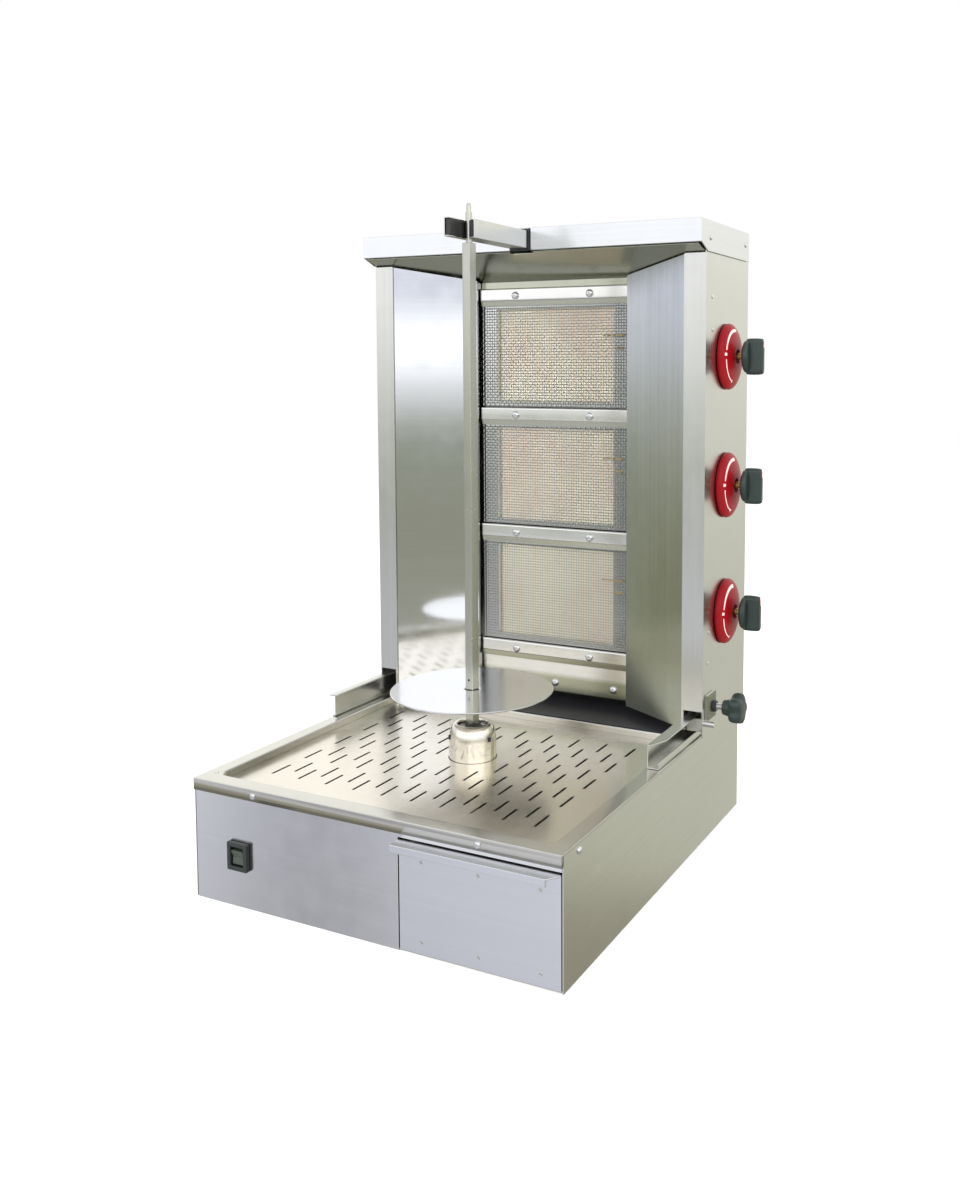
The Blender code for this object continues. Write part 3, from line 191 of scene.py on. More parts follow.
def rounded_bar(
    name: str, centre: Pair, half: Pair, corner: float, ends: Pair, edge: float, axis: Axis,
    turn: float = 0.0, steps: int = 5,
) -> Object:
    """A bar of rounded rectangular section whose ends roll over.

    At angle a of the rolled edge e, a ring is drawn in by e (1 - sin a) at depth e (1 - cos a).

    Args:
        name: name of the piece.
        centre: the bar's axis in the two cross axes.
        half: half sizes of the section.
        corner: radius of the section's corners.
        ends: lowest and highest place along the axis.
        edge: radius of the rolled ends.
        axis: direction of the bar.
        turn: angle of the section about the axis, in radians.
        steps: rings in each rolled end.

    Returns:
        The bar.
    """
    angles = np.linspace(0.0, np.pi / 2, steps)
    inset = edge * (1 - np.sin(angles))
    depth = edge * (1 - np.cos(angles))
    insets = np.concatenate([inset, inset[::-1]])
    places = np.concatenate([ends[0] + depth, (ends[1] - depth)[::-1]])
    c, s = math.cos(turn), math.sin(turn)
    rings = []
    for step, place in zip(insets, places):
        ring = rounded_rectangle((half[0] - step, half[1] - step), corner - min(step, corner * 0.9))
        rings.append(ring_at(ring @ np.array(((c, s), (-s, c))), centre, place, axis))
    return closed_rows(name, np.stack(rings))


def bent_path(points: Array, radius: float, steps: int = 5) -> Array:
    """Rounds each inner corner of an open path with a circular arc that touches both its sides."""
    made = [points[0]]
    for before, corner, after in zip(points, points[1:], points[2:]):
        back = (before - corner) / np.linalg.norm(before - corner)
        on = (after - corner) / np.linalg.norm(after - corner)
        half = math.acos(float(np.clip(np.dot(back, on), -1, 1))) / 2
        reach = radius / math.tan(half)
        middle = corner + (back + on) / np.linalg.norm(back + on) * (radius / math.sin(half))
        start, stop = corner + back * reach - middle, corner + on * reach - middle
        share = np.linspace(0.0, 1.0, steps)[:, None]
        spread = math.pi - 2 * half
        arc = (np.sin((1 - share) * spread) * start + np.sin(share * spread) * stop) / math.sin(spread)
        made.extend(middle + arc)
    made.append(points[-1])
    return np.array(made)


def folded_sheet(name: str, points: list, thickness: float, bend: float, axis: Axis, ends: Pair) -> Object:
    """A sheet bent along a path: its middle line is the path moved half a thickness in, round at folds.

    Args:
        name: name of the piece.
        points: outer face of the sheet in the two cross axes.
        thickness: sheet thickness, to the left of the path, or to the right where negative.
        bend: inside radius of each fold.
        axis: direction that the section is carried along.
        ends: lowest and highest place along the axis.

    Returns:
        The sheet.
    """
    path = np.array(points, float)
    runs = np.diff(path, axis=0)
    runs /= np.linalg.norm(runs, axis=1)[:, None]
    sides = np.stack([-runs[:, 1], runs[:, 0]], axis=-1)
    before, after = np.vstack([sides[:1], sides]), np.vstack([sides, sides[-1:]])
    mitre = before + after
    mitre /= np.linalg.norm(mitre, axis=1)[:, None]
    middle = path + mitre * (thickness / 2 / np.sum(mitre * after, axis=1))[:, None]
    line = bent_path(middle, bend + abs(thickness) / 2) if len(path) > 2 else middle
    slope = np.gradient(line, axis=0)
    slope /= np.linalg.norm(slope, axis=1)[:, None]
    normal = np.stack([-slope[:, 1], slope[:, 0]], axis=-1) * abs(thickness) / 2
    outline = np.vstack([line - normal, (line + normal)[::-1]])
    count, total = len(line), 2 * len(line)
    rings = np.stack([ring_at(outline, (0.0, 0.0), end, axis) for end in ends])
    faces = grid_faces(2, total)
    step = np.arange(count - 1)
    strip = np.stack([step, step + 1, total - 2 - step, total - 1 - step], axis=-1)
    faces += strip.tolist() + (strip + total).tolist()
    return put_mesh(name, rings, faces, 30.0)


def rods(
    name: str, paths: Array, radius: float, across: Point, sides: int = 6, up: Point = (0.0, 0.0, 1.0)
) -> Object:
    """Tubes along many paths at once: each section is a circle in the plane of two fixed directions.

    Args:
        name: name of the piece.
        paths: array of (tubes, points, 3).
        radius: radius of every tube.
        across: first direction of the section.
        sides: points round the section.
        up: second direction of the section.

    Returns:
        One object that holds all the tubes.
    """
    turn = np.linspace(0.0, 2 * np.pi, sides, endpoint=False)
    ring = np.cos(turn)[:, None] * np.array(across) + np.sin(turn)[:, None] * np.array(up)
    points = paths[:, :, None, :] + radius * ring[None, None, :, :]
    tubes, rows = paths.shape[:2]
    faces: list = []
    for tube in range(tubes):
        first = tube * rows * sides
        last = first + (rows - 1) * sides
        faces += grid_faces(rows, sides, first=first)
        faces += [list(range(first, first + sides)), list(range(last, last + sides))]
    return put_mesh(name, points, faces)


# ---------------------------------------------------------------- shader nodes
def feed(tree: Tree, socket: Socket, value: Socket | float | Colour) -> None:
    """Links a socket to another one, or sets it to a number or a colour."""
    if isinstance(value, Socket):
        tree.links.new(value, socket)
    else:
        socket.default_value = value


def arithmetic(tree: Tree, operation: str, *terms: Socket | float) -> Socket:
    """Adds a Math node over sockets or numbers and returns its result."""
    node = tree.nodes.new("ShaderNodeMath")
    node.operation = operation
    for socket, term in zip(node.inputs, terms):
        feed(tree, socket, term)
    return node.outputs[0]


def mixed(
    tree: Tree, share: Socket, first: Socket | Colour, second: Socket | Colour, blend: str = "MIX"
) -> Socket:
    """Mixes the second colour over the first by a share."""
    node = tree.nodes.new("ShaderNodeMix")
    node.data_type, node.blend_type = "RGBA", blend
    for label, value in (("Factor", share), ("A", first), ("B", second)):
        feed(tree, node.inputs[label], value)
    return node.outputs["Result"]


def mapped(
    tree: Tree, value: Socket, start: Socket | float, end: Socket | float, smooth: bool = True
) -> Socket:
    """Maps a value to 0 at the start and 1 at the end, by a smooth step or in a straight line."""
    node = tree.nodes.new("ShaderNodeMapRange")
    node.interpolation_type = "SMOOTHSTEP" if smooth else "LINEAR"
    for label, given in (("Value", value), ("From Min", start), ("From Max", end)):
        feed(tree, node.inputs[label], given)
    return node.outputs[0]


def split_up(tree: Tree, vector: Socket) -> dict[str, Socket]:
    """The X, Y and Z of a vector."""
    node = tree.nodes.new("ShaderNodeSeparateXYZ")
    tree.links.new(vector, node.inputs[0])
    return {label: node.outputs[label] for label in ("X", "Y", "Z")}


def noise(
    tree: Tree, vector: Socket, scale: Socket | float, detail: float = 2.0, stretch: Point | None = None
) -> Socket:
    """Adds noise over coordinates, stretched by three factors where given, and returns its value."""
    if stretch:
        mapping = tree.nodes.new("ShaderNodeMapping")
        mapping.inputs["Scale"].default_value = stretch
        tree.links.new(vector, mapping.inputs["Vector"])
        vector = mapping.outputs[0]
    texture = tree.nodes.new("ShaderNodeTexNoise")
    for label, value in (("Vector", vector), ("Scale", scale), ("Detail", detail)):
        feed(tree, texture.inputs[label], value)
    return texture.outputs[0]


def bumped(
    tree: Tree, shader: Node, height: Socket, strength: float, distance: float, sunk: bool = False
) -> None:
    """Turns a height into bump on the shader, raised or sunk."""
    bump = tree.nodes.new("ShaderNodeBump")
    bump.invert = sunk
    bump.inputs["Strength"].default_value, bump.inputs["Distance"].default_value = strength, distance
    tree.links.new(height, bump.inputs["Height"])
    tree.links.new(bump.outputs[0], shader.inputs["Normal"])


def group(name: str, inputs: dict[str, float], outputs: tuple[str, ...]) -> tuple[Tree, Node, Node]:
    """Starts a node group with a Vector input, number inputs with defaults, and number outputs."""
    tree = bpy.data.node_groups.new(name, "ShaderNodeTree")
    tree.interface.new_socket(name="Vector", in_out="INPUT", socket_type="NodeSocketVector")
    for label, value in inputs.items():
        socket = tree.interface.new_socket(name=label, in_out="INPUT", socket_type="NodeSocketFloat")
        socket.default_value = value
    for label in outputs:
        tree.interface.new_socket(name=label, in_out="OUTPUT", socket_type="NodeSocketFloat")
    return tree, tree.nodes.new("NodeGroupInput"), tree.nodes.new("NodeGroupOutput")


def placed(tree: Tree, effect: Tree, vector: Socket, **values: float) -> Node:
    """Puts a node group over the given coordinates, with its own values."""
    node = tree.nodes.new("ShaderNodeGroup")
    node.node_tree = effect
    tree.links.new(vector, node.inputs["Vector"])
    for label, value in values.items():
        node.inputs[label].default_value = value
    return node


def brushed_group() -> Tree:
    """Brushed sheet: fine strokes (two stretched noises), slow drift of tone and handling marks."""
    tree, start, end = group("brushed_sheet", {"Grain": 1.0, "Drift": 1.0}, ("Grain", "Drift", "Marks"))
    vector = start.outputs["Vector"]
    fine = arithmetic(tree, "MULTIPLY", noise(tree, vector, 1.0, 3.0, (14.0, 14.0, 1500.0)), 0.5)
    both = arithmetic(tree, "ADD", fine, noise(tree, vector, 1.0, 4.0, (2.2, 2.2, 210.0)))
    broad = noise(tree, vector, 3.2, 1.5, (1.0, 1.0, 0.8))
    for label, value, mean in (("Grain", both, 0.75), ("Drift", broad, 0.5)):
        centred = arithmetic(tree, "SUBTRACT", value, mean)
        tree.links.new(arithmetic(tree, "MULTIPLY", centred, start.outputs[label]), end.inputs[label])
    tree.links.new(arithmetic(tree, "SUBTRACT", noise(tree, vector, 38.0, 5.0), 0.5), end.inputs["Marks"])
    return tree


def speckle_group() -> Tree:
    """Fine moulded or cast texture: close noise for relief and slower noise for tone."""
    tree, start, end = group("speckle", {"Scale": 900.0}, ("Relief", "Tone"))
    vector = start.outputs["Vector"]
    tree.links.new(noise(tree, vector, start.outputs["Scale"]), end.inputs["Relief"])
    tree.links.new(noise(tree, vector, 24.0, 4.0), end.inputs["Tone"])
    return tree


def fade_group() -> Tree:
    """Smooth step over height: 0 at Start and 1 at End, by the vector's Z."""
    tree, start, end = group("height_fade", {"Start": 0.0, "End": 1.0}, ("Fade",))
    height = split_up(tree, start.outputs["Vector"])["Z"]
    tree.links.new(mapped(tree, height, start.outputs["Start"], start.outputs["End"]), end.inputs["Fade"])
    return tree


BRUSHED = brushed_group()
SPECKLE = speckle_group()
FADE = fade_group()


# ---------------------------------------------------------------- finishes
class Slot(Enum):
    """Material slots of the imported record."""

    SHEET = "stainless_sheet"
    POLISHED = "polished_steel"
    MESH = "wire_mesh"
    PLASTIC = "black_plastic"
    BLACK = "black_enamel"
    RED = "red_enamel"
    BRASS = "brass"
    CAST = "cast_metal"


class Grain(Enum):
    """Direction of the brush strokes on a sheet, as the turn that brings X and Z to it."""

    ALONG_X = (0.0, 0.0, 0.0)
    UPRIGHT = (0.0, math.pi / 2, 0.0)
    ALONG_Y = (0.0, 0.0, math.pi / 2)


@dataclass(frozen=True)
class Finish:
    """A material that is built once, and the record's slot that it belongs to."""

    name: str
    slot: Slot = field(default=Slot.SHEET, kw_only=True)

    def material(self) -> Material:
        """Returns the material, and builds it the first time."""
        made = bpy.data.materials.get(self.name)
        if made is None:
            made = bpy.data.materials.new(self.name)
            made.use_nodes = True
            tree = made.node_tree
            where = tree.nodes.new("ShaderNodeTexCoord").outputs["Object"]
            self.paint(tree, tree.nodes["Principled BSDF"], where)
        return made

    def paint(self, tree: Tree, shader: Node, where: Socket) -> None:
        """Builds the nodes; each kind of finish has its own way."""
        raise NotImplementedError


def two_tones(colour: Point, spread: float) -> tuple[Colour, Colour]:
    """A colour made darker and lighter by a share of itself."""
    darker = [part * (1 - spread) for part in colour]
    lighter = [min(1.0, part * (1 + spread)) for part in colour]
    return (*darker, 1.0), (*lighter, 1.0)


@dataclass(frozen=True)
class SheetFinish(Finish):
    """Stainless sheet: a coloured metal with brush strokes, slow changes of tone, faint marks and, where set,
    painted shade over a span of height.
    """

    colour: Point = (0.55, 0.55, 0.53)
    roughness: float = 0.26
    grain: Grain = Grain.ALONG_X
    grain_depth: float = 0.10
    drift: float = 0.25
    marks: float = 0.10
    streaks: float = 0.35
    # painted shade: a darker colour multiplied into the sheet, and the span of height over which it fades in
    painted_shade: Point = (1.0, 1.0, 1.0)
    painted_shade_span: Pair | None = None

    def paint(self, tree: Tree, shader: Node, where: Socket) -> None:
        """Tone is the drift plus a share of the strokes; painted shade, a darker colour multiplied in, may
        fade in over a span of height.
        """
        shader.inputs["Metallic"].default_value = 1.0
        turn = tree.nodes.new("ShaderNodeMapping")
        turn.inputs["Rotation"].default_value = self.grain.value
        tree.links.new(where, turn.inputs["Vector"])
        wear = placed(tree, BRUSHED, turn.outputs[0], Drift=self.drift).outputs
        tone = arithmetic(tree, "MULTIPLY_ADD", wear["Grain"], self.streaks, wear["Drift"])
        colour = mixed(tree, arithmetic(tree, "ADD", tone, 0.5), *two_tones(self.colour, 0.18))
        # Painted shade: the colour is multiplied towards a darker one over the span of height.
        if self.painted_shade_span:
            start, end = self.painted_shade_span
            fade = placed(tree, FADE, where, Start=start, End=end).outputs["Fade"]
            colour = mixed(tree, fade, colour, (*self.painted_shade, 1.0), "MULTIPLY")
        tree.links.new(colour, shader.inputs["Base Color"])
        rough = arithmetic(tree, "MULTIPLY_ADD", wear["Marks"], self.marks, self.roughness)
        tree.links.new(rough, shader.inputs["Roughness"])
        bumped(tree, shader, wear["Grain"], self.grain_depth, 0.0002)


@dataclass(frozen=True)
class MouldedFinish(Finish):
    """Plastic, enamel, brass or cast metal: two tones of one colour with a fine relief."""

    colour: Point = (0.02, 0.02, 0.02)
    roughness: float = 0.4
    metallic: float = 0.0
    relief: float = 0.10
    scale: float = 900.0
    spread: float = 0.15
    gloss: float = 0.5
    slot: Slot = field(default=Slot.PLASTIC, kw_only=True)

    def paint(self, tree: Tree, shader: Node, where: Socket) -> None:
        """Colour and roughness follow the slow noise, and the relief follows the close noise."""
        shader.inputs["Metallic"].default_value = self.metallic
        shader.inputs["Specular IOR Level"].default_value = self.gloss
        grain = placed(tree, SPECKLE, where, Scale=self.scale).outputs
        colour = mixed(tree, grain["Tone"], *two_tones(self.colour, self.spread))
        tree.links.new(colour, shader.inputs["Base Color"])
        rough = arithmetic(tree, "MULTIPLY_ADD", grain["Tone"], 0.12, self.roughness - 0.06)
        tree.links.new(rough, shader.inputs["Roughness"])
        bumped(tree, shader, grain["Relief"], self.relief, 0.0003)


@dataclass(frozen=True)
class PlaqueFinish(Finish):
    """Porous burner plaque: a grid of fine flame holes over clay that is stained in broad patches."""

    clay: Colour = (0.93, 0.90, 0.73, 1.0)
    stain: Colour = (0.88, 0.74, 0.61, 1.0)
    hole: Colour = (0.42, 0.32, 0.22, 1.0)
    hole_pitch: float = 0.0032

    def paint(self, tree: Tree, shader: Node, where: Socket) -> None:
        """The holes are where two sines of X and Z are both near their peak."""
        shader.inputs["Roughness"].default_value = 0.9
        place = split_up(tree, where)
        rate = 2 * math.pi / self.hole_pitch
        waves = [
            arithmetic(tree, "SINE", arithmetic(tree, "MULTIPLY", place[label], rate)) for label in ("X", "Z")
        ]
        holes = arithmetic(tree, "SMOOTH_MAX", arithmetic(tree, "MULTIPLY", *waves), 0.0)
        patches = mapped(tree, noise(tree, where, 13.0, 2.0), 0.36, 0.64, smooth=False)
        clay = mixed(tree, patches, self.clay, self.stain)
        colour = mixed(tree, arithmetic(tree, "MULTIPLY", holes, 0.4), clay, self.hole)
        tree.links.new(colour, shader.inputs["Base Color"])
        bumped(tree, shader, holes, 0.6, 0.0008, sunk=True)


FRONT_SHEET = SheetFinish("front_sheet", (0.74, 0.74, 0.74), 0.19, streaks=0.2)
SIDE_SHEET = SheetFinish("side_sheet", (0.62, 0.62, 0.58), 0.17, Grain.ALONG_Y, streaks=0.2)
COLUMN_SIDE = SheetFinish("column_side_sheet", (0.63, 0.63, 0.60), 0.24, Grain.UPRIGHT)
DECK_SHEET = SheetFinish("deck_sheet", (0.66, 0.65, 0.60), 0.20)
TRAY_SHEET = SheetFinish("tray_sheet", (0.80, 0.76, 0.67), 0.25, Grain.ALONG_Y, 0.06)
HOOD_SHEET = SheetFinish("hood_sheet", (0.70, 0.71, 0.72), 0.20)
# Hood liner: the hood's steel made darker and olive, painted shade under the hood.
HOOD_LINER_SHADED = SheetFinish("hood_liner_sheet", (0.46, 0.47, 0.38), 0.20, drift=0.4)
DRAWER_SHEET = SheetFinish("drawer_sheet", (0.76, 0.77, 0.80), 0.30, streaks=0.25)
LEFT_WING = SheetFinish("left_wing_sheet", (0.68, 0.69, 0.69), 0.09, Grain.ALONG_X, 0.03, streaks=0.2)
# Right wing: darkened towards olive from 0.72 m down to 0.30 m, a painted reflection of the dark surroundings
# below.
RIGHT_WING = SheetFinish(
    "right_wing_sheet", (0.70, 0.72, 0.74), 0.24, Grain.UPRIGHT, 0.05, streaks=0.6,
    painted_shade=(0.74, 0.75, 0.58), painted_shade_span=(0.72, 0.30),
)
# Bracket lips: the bracket's steel made darker and olive, painted shade under the bracket's lower fold.
BRACKET_LIP_SHADED = SheetFinish("bracket_lip_sheet", (0.52, 0.52, 0.42), 0.26)
BRACKET_SHEET = SheetFinish("bracket_sheet", (0.80, 0.79, 0.76), 0.20)
BURNER_STEEL = SheetFinish("burner_steel", (0.84, 0.85, 0.86), 0.20, drift=0.8)
# Lower cover: darkened towards olive over its lowest 10 mm, painted shade along the bottom of the sheet.
LOWER_SHEET = SheetFinish(
    "lower_cover_sheet", (0.82, 0.82, 0.80), 0.22, drift=0.6,
    painted_shade=(0.52, 0.54, 0.42), painted_shade_span=(0.194, 0.184),
)
RAIL_STEEL = SheetFinish("rail_steel", (0.66, 0.66, 0.62), 0.24, Grain.ALONG_Y)
DISC_STEEL = SheetFinish("disc_steel", (0.78, 0.78, 0.78), 0.16, grain_depth=0.02)
TURNED_STEEL = SheetFinish("turned_steel", (0.84, 0.80, 0.70), 0.20, grain_depth=0.04, slot=Slot.POLISHED)
SPIT_STEEL = SheetFinish("spit_steel", (0.52, 0.52, 0.46), 0.26, Grain.UPRIGHT, slot=Slot.POLISHED)
SCREW_STEEL = SheetFinish("screw_steel", (0.72, 0.72, 0.72), 0.20, grain_depth=0.02, slot=Slot.POLISHED)
WIRE_STEEL = SheetFinish(
    "wire_steel", (0.50, 0.50, 0.48), 0.30, grain_depth=0.02, drift=0.6, slot=Slot.MESH
)
# Black enamel, also used for the near-black floor of the hub's socket, which is painted shade.
DARK_ENAMEL_AND_SHADE = MouldedFinish("dark_enamel", (0.016, 0.016, 0.020), 0.42, slot=Slot.BLACK)
KNOB_PLASTIC = MouldedFinish("knob_plastic", (0.013, 0.022, 0.019), 0.34, relief=0.15)
SWITCH_PLASTIC = MouldedFinish("switch_plastic", (0.012, 0.015, 0.015), 0.32)
ROCKER_PLASTIC = MouldedFinish("rocker_plastic", (0.034, 0.044, 0.036), 0.26)
GUIDE_PLASTIC = MouldedFinish("guide_plastic", (0.014, 0.014, 0.014), 0.42)
PLATE_ENAMEL = MouldedFinish("clamp_plate_enamel", (0.15, 0.16, 0.10), 0.46, 0.2, slot=Slot.CAST)
DIAL_ENAMEL = MouldedFinish(
    "dial_enamel", (0.23, 0.002, 0.006), 0.34, relief=0.03, spread=0.08, gloss=0.16, slot=Slot.RED
)
MARK_ENAMEL = MouldedFinish("mark_enamel", (0.90, 0.62, 0.58), 0.45, slot=Slot.RED)
BRASS = MouldedFinish("turned_brass", (0.62, 0.46, 0.20), 0.28, 1.0, slot=Slot.BRASS)
CAST_METAL = MouldedFinish(
    "cast_metal", (0.22, 0.22, 0.23), 0.55, 0.8, relief=0.4, scale=400.0, slot=Slot.CAST
)
FLOOR_PAINT = MouldedFinish("floor_paint", (0.93, 0.93, 0.93), 0.75, relief=0.0, spread=0.01)
PLAQUE = PlaqueFinish("burner_plaque")


# ---------------------------------------------------------------- placing
def dress(piece: Object, finish: Finish, body: str = "", *replaces: str) -> Object:
    """Gives a piece its finish and, for a new piece, its body and the nodes it stands for.

    Args:
        piece: the object.
        finish: how it looks.
        body: body it rides on, for a new piece.
        replaces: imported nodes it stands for.

    Returns:
        The same object.
    """
    piece.data.materials.clear()
    piece.data.materials.append(finish.material())
    if body:
        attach(piece, body)
    if replaces:
        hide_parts(*replaces)
    LOG.info("%s in %s", piece.name, finish.name)
    return piece


def dress_nodes(finish: Finish, *nodes: str) -> None:
    """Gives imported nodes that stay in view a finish."""
    for node in nodes:
        dress(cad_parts[node], finish)


def softened(
    node: str, name: str, finish: Finish, body: str, width: float, segments: int = 2
) -> None:
    """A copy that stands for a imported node: triangles merged to flat faces, edges rolled by a bevel.

    Args:
        node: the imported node.
        name: name of the copy.
        finish: how it looks.
        body: body it rides on.
        width: width of the bevel.
        segments: steps in the bevel.
    """
    work = bmesh.new()
    work.from_mesh(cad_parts[node].data)
    bmesh.ops.remove_doubles(work, verts=work.verts, dist=WELD_DISTANCE)
    bmesh.ops.dissolve_limit(work, angle_limit=math.radians(0.5), verts=work.verts, edges=work.edges)
    bmesh.ops.recalc_face_normals(work, faces=work.faces)
    mesh = bpy.data.meshes.new(name)
    work.to_mesh(mesh)
    work.free()
    mesh.shade_smooth()
    mesh.set_sharp_from_angle(angle=math.radians(30))
    piece = bpy.data.objects.new(name, mesh)
    bpy.context.scene.collection.objects.link(piece)
    bevel = piece.modifiers.new("rolled_edges", "BEVEL")
    bevel.width, bevel.segments, bevel.limit_method = width, segments, "ANGLE"
    bevel.angle_limit, bevel.harden_normals = math.radians(30), True
    dress(piece, finish, body, node)


def box(node: str) -> tuple[Vector, Vector]:
    """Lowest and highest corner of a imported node."""
    low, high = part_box(node)
    return Vector(low), Vector(high)


def middle(node: str) -> Vector:
    """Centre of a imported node's box."""
    low, high = box(node)
    return (low + high) / 2


@dataclass(frozen=True)
class Screw:
    """A domed head with a washer step and a dimple sunk in its crown."""

    radius: float = 0.0042
    height: float = 0.0026
    finish: Finish = SCREW_STEEL

    def fit(self, name: str, place: Point, axis: Axis, way: float, body: str) -> None:
        """Turns the head's profile, a flat rim and a quarter ellipse up to a dimple, and dresses it.

        Args:
            name: name of the piece.
            place: centre of the seat.
            axis: direction the head stands along.
            way: +1 or -1 along that axis.
            body: body it rides on.
        """
        angle = np.linspace(0.0, np.pi / 2, 7)[:-1]
        rise = 0.0005 + (self.height - 0.0005) * np.sin(angle)
        reach = self.radius * (0.25 + 0.70 * np.cos(angle))
        profile = [(-0.0002, self.radius), (0.0005, self.radius)] + list(zip(rise, reach))
        dimple = ((0.96, 0.22), (0.55, 0.16), (0.50, 0.0))
        profile += [(self.height * up, self.radius * out) for up, out in dimple]
        first, second, along = axis.value
        line = [(place[along] + way * distance, radius) for distance, radius in profile]
        dress(revolved(name, line, (place[first], place[second]), axis, 20), self.finish, body)


# ---------------------------------------------------------------- sub-assemblies
@dataclass
class Cabinet:
    """The base: folded body, front panel, deck with its sunken tray, rails, screws and the switch."""

    body: str = "base"
    sheet: float = 0.0015
    bend: float = 0.0015
    deck_corner: float = 0.012
    rim_roll: float = 0.0022
    tray_gap: float = 0.0004
    lip_screws: Pair = (-0.1566, 0.1498)
    lip_height: float = 0.1405
    side_screw: Point = (0.25, -0.2486, 0.1387)
    rim_rivets: tuple[Pair, Pair] = ((-0.238, -0.028), (-0.236, -0.262))

    def build(self) -> None:
        """Makes the base's pieces and dresses its plain sheets."""
        self.shell()
        self.deck()
        self.rails()
        self.fasteners()
        self.switch()
        softened("base_front_panel", "front_panel", FRONT_SHEET, self.body, 0.0004)
        dress_nodes(TRAY_SHEET, "tray_plate")
        dress_nodes(DARK_ENAMEL_AND_SHADE, "deck_floor_plate")
        dress_nodes(SIDE_SHEET, "base_floor", "drip_chute")
        dress_nodes(CAST_METAL, "gear_motor")

    def shell(self) -> None:
        """Sides and back as one sheet folded at the two rear corners, and the gland of the mains lead."""
        low, high = box("base_shell")
        path = [(low.x, low.y), (low.x, high.y), (high.x, high.y), (high.x, low.y)]
        sheet = folded_sheet("base_body", path, -self.sheet, self.bend, Axis.Z, (low.z, high.z))
        dress(sheet, SIDE_SHEET, self.body, "base_shell")
        gland = middle("cable_gland")
        profile = [
            (0.2732, 0.0), (0.2732, 0.0075), (0.2855, 0.0075), (0.2855, 0.0125), (0.2920, 0.0125),
            (0.2930, 0.0110), (0.3025, 0.0085), (0.3030, 0.0045), (0.2950, 0.0042), (0.2950, 0.0),
        ]
        piece = revolved("lead_gland", profile, (gland.x, gland.z), Axis.Y, 32)
        dress(piece, GUIDE_PLASTIC, self.body, "cable_gland")

    def deck(self) -> None:
        """Deck skin: rings run in from the outer edge, roll over into the recess and out onto a ledge."""
        low, high = box("deck_frame")
        tray_low, tray_high = box("tray_plate")
        top, roll, gap, corner = high.z, self.rim_roll, self.tray_gap, self.deck_corner
        outer = ((low.x + high.x) / 2, (low.y + high.y) / 2, (high.x - low.x) / 2, (high.y - low.y) / 2)
        inner = (
            (tray_low.x + tray_high.x) / 2, (tray_low.y + tray_high.y) / 2,
            (tray_high.x - tray_low.x) / 2 + gap, (tray_high.y - tray_low.y) / 2 + gap,
        )

        def ring(around: tuple, inset: float, radius: float, level: float) -> Array:
            outline = rounded_rectangle((around[2] - inset, around[3] - inset), radius, 9)
            return ring_at(outline, around[:2], level, Axis.Z)

        skirt = ring(outer, 0.0, 0.002, top - self.sheet)
        skirt[skirt[:, 1] < low.y + self.sheet, 2] = low.z
        rings = [skirt]
        for inset, depth in ((0.0, 0.0012), (0.0003, 0.0004), (0.0011, 0.0)):
            rings.append(ring(outer, inset, 0.002, top - depth))
        for angle in np.linspace(0.0, np.pi / 2, 5):
            inset, depth = -roll * (1 - math.sin(angle)), roll * (1 - math.cos(angle))
            rings.append(ring(inner, inset, corner, top - depth))
        for inset, radius in ((0.0, corner), (0.008, corner - 0.006)):
            rings.append(ring(inner, inset, radius, tray_low.z - gap))
        points = np.stack(rings)
        piece = put_mesh("deck_skin", points, grid_faces(*points.shape[:2]), 40.0)
        wall = piece.modifiers.new("sheet", "SOLIDIFY")
        wall.thickness, wall.offset = 0.0014, -1.0
        dress(piece, DECK_SHEET, self.body, "deck_frame")

    def rails(self) -> None:
        """Both rails: the right one with softened edges, the left one as a bent section."""
        softened("right_rail", "rail_right", RAIL_STEEL, self.body, 0.0005)
        low, high = box("left_rail")
        path = [(low.x, high.z), (high.x, high.z), (high.x, low.z), (high.x - 0.006, low.z)]
        piece = folded_sheet("rail_left", path, -self.sheet, 0.0008, Axis.Y, (low.y, high.y))
        dress(piece, RAIL_STEEL, self.body, "left_rail")

    def fasteners(self) -> None:
        """Two screws in the deck's lip, one in each side, and two small rivets on the rim."""
        low, high = box("deck_frame")
        screw, rivet = Screw(), Screw(0.0026, 0.0012)
        for number, x in enumerate(self.lip_screws, start=1):
            screw.fit(f"lip_screw_{number}", (x, low.y, self.lip_height), Axis.Y, -1.0, self.body)
        x, y, z = self.side_screw
        for side, word in SIDES:
            screw.fit(f"{word}_side_screw_1", (side * x, y, z), Axis.X, side, self.body)
        for number, (x, y) in enumerate(self.rim_rivets, start=1):
            rivet.fit(f"rim_rivet_{number}", (x, y, high.z), Axis.Z, 1.0, self.body)

    def switch(self) -> None:
        """Mains switch: a rounded bezel and its rocking key."""
        softened("rocker_bezel", "switch_bezel", SWITCH_PLASTIC, self.body, 0.0012, 3)
        softened("rocker", "switch_key", ROCKER_PLASTIC, "rocker", 0.0009, 3)


@dataclass
class Drawer:
    """Fat drawer: a face with a folded grip, spot welds and the pan behind it."""

    body: str = "drawer"
    weld_rows: Pair = (0.105, 0.015)
    weld_columns: Point = (0.076, 0.148, 0.223)

    def build(self) -> None:
        """Makes the face and its welds, and dresses the pan."""
        face = box("drawer_front")[1].y
        softened("drawer_front", "drawer_face", DRAWER_SHEET, self.body, 0.0006)
        weld = Screw(0.0021, 0.0003, SIDE_SHEET)
        for row, z in enumerate(self.weld_rows):
            for column, x in enumerate(self.weld_columns):
                place = (x, face - 0.0015, z)
                weld.fit(f"spot_weld_{row}_{column}", place, Axis.Y, -1.0, self.body)
        dress_nodes(SIDE_SHEET, "drawer_pan")


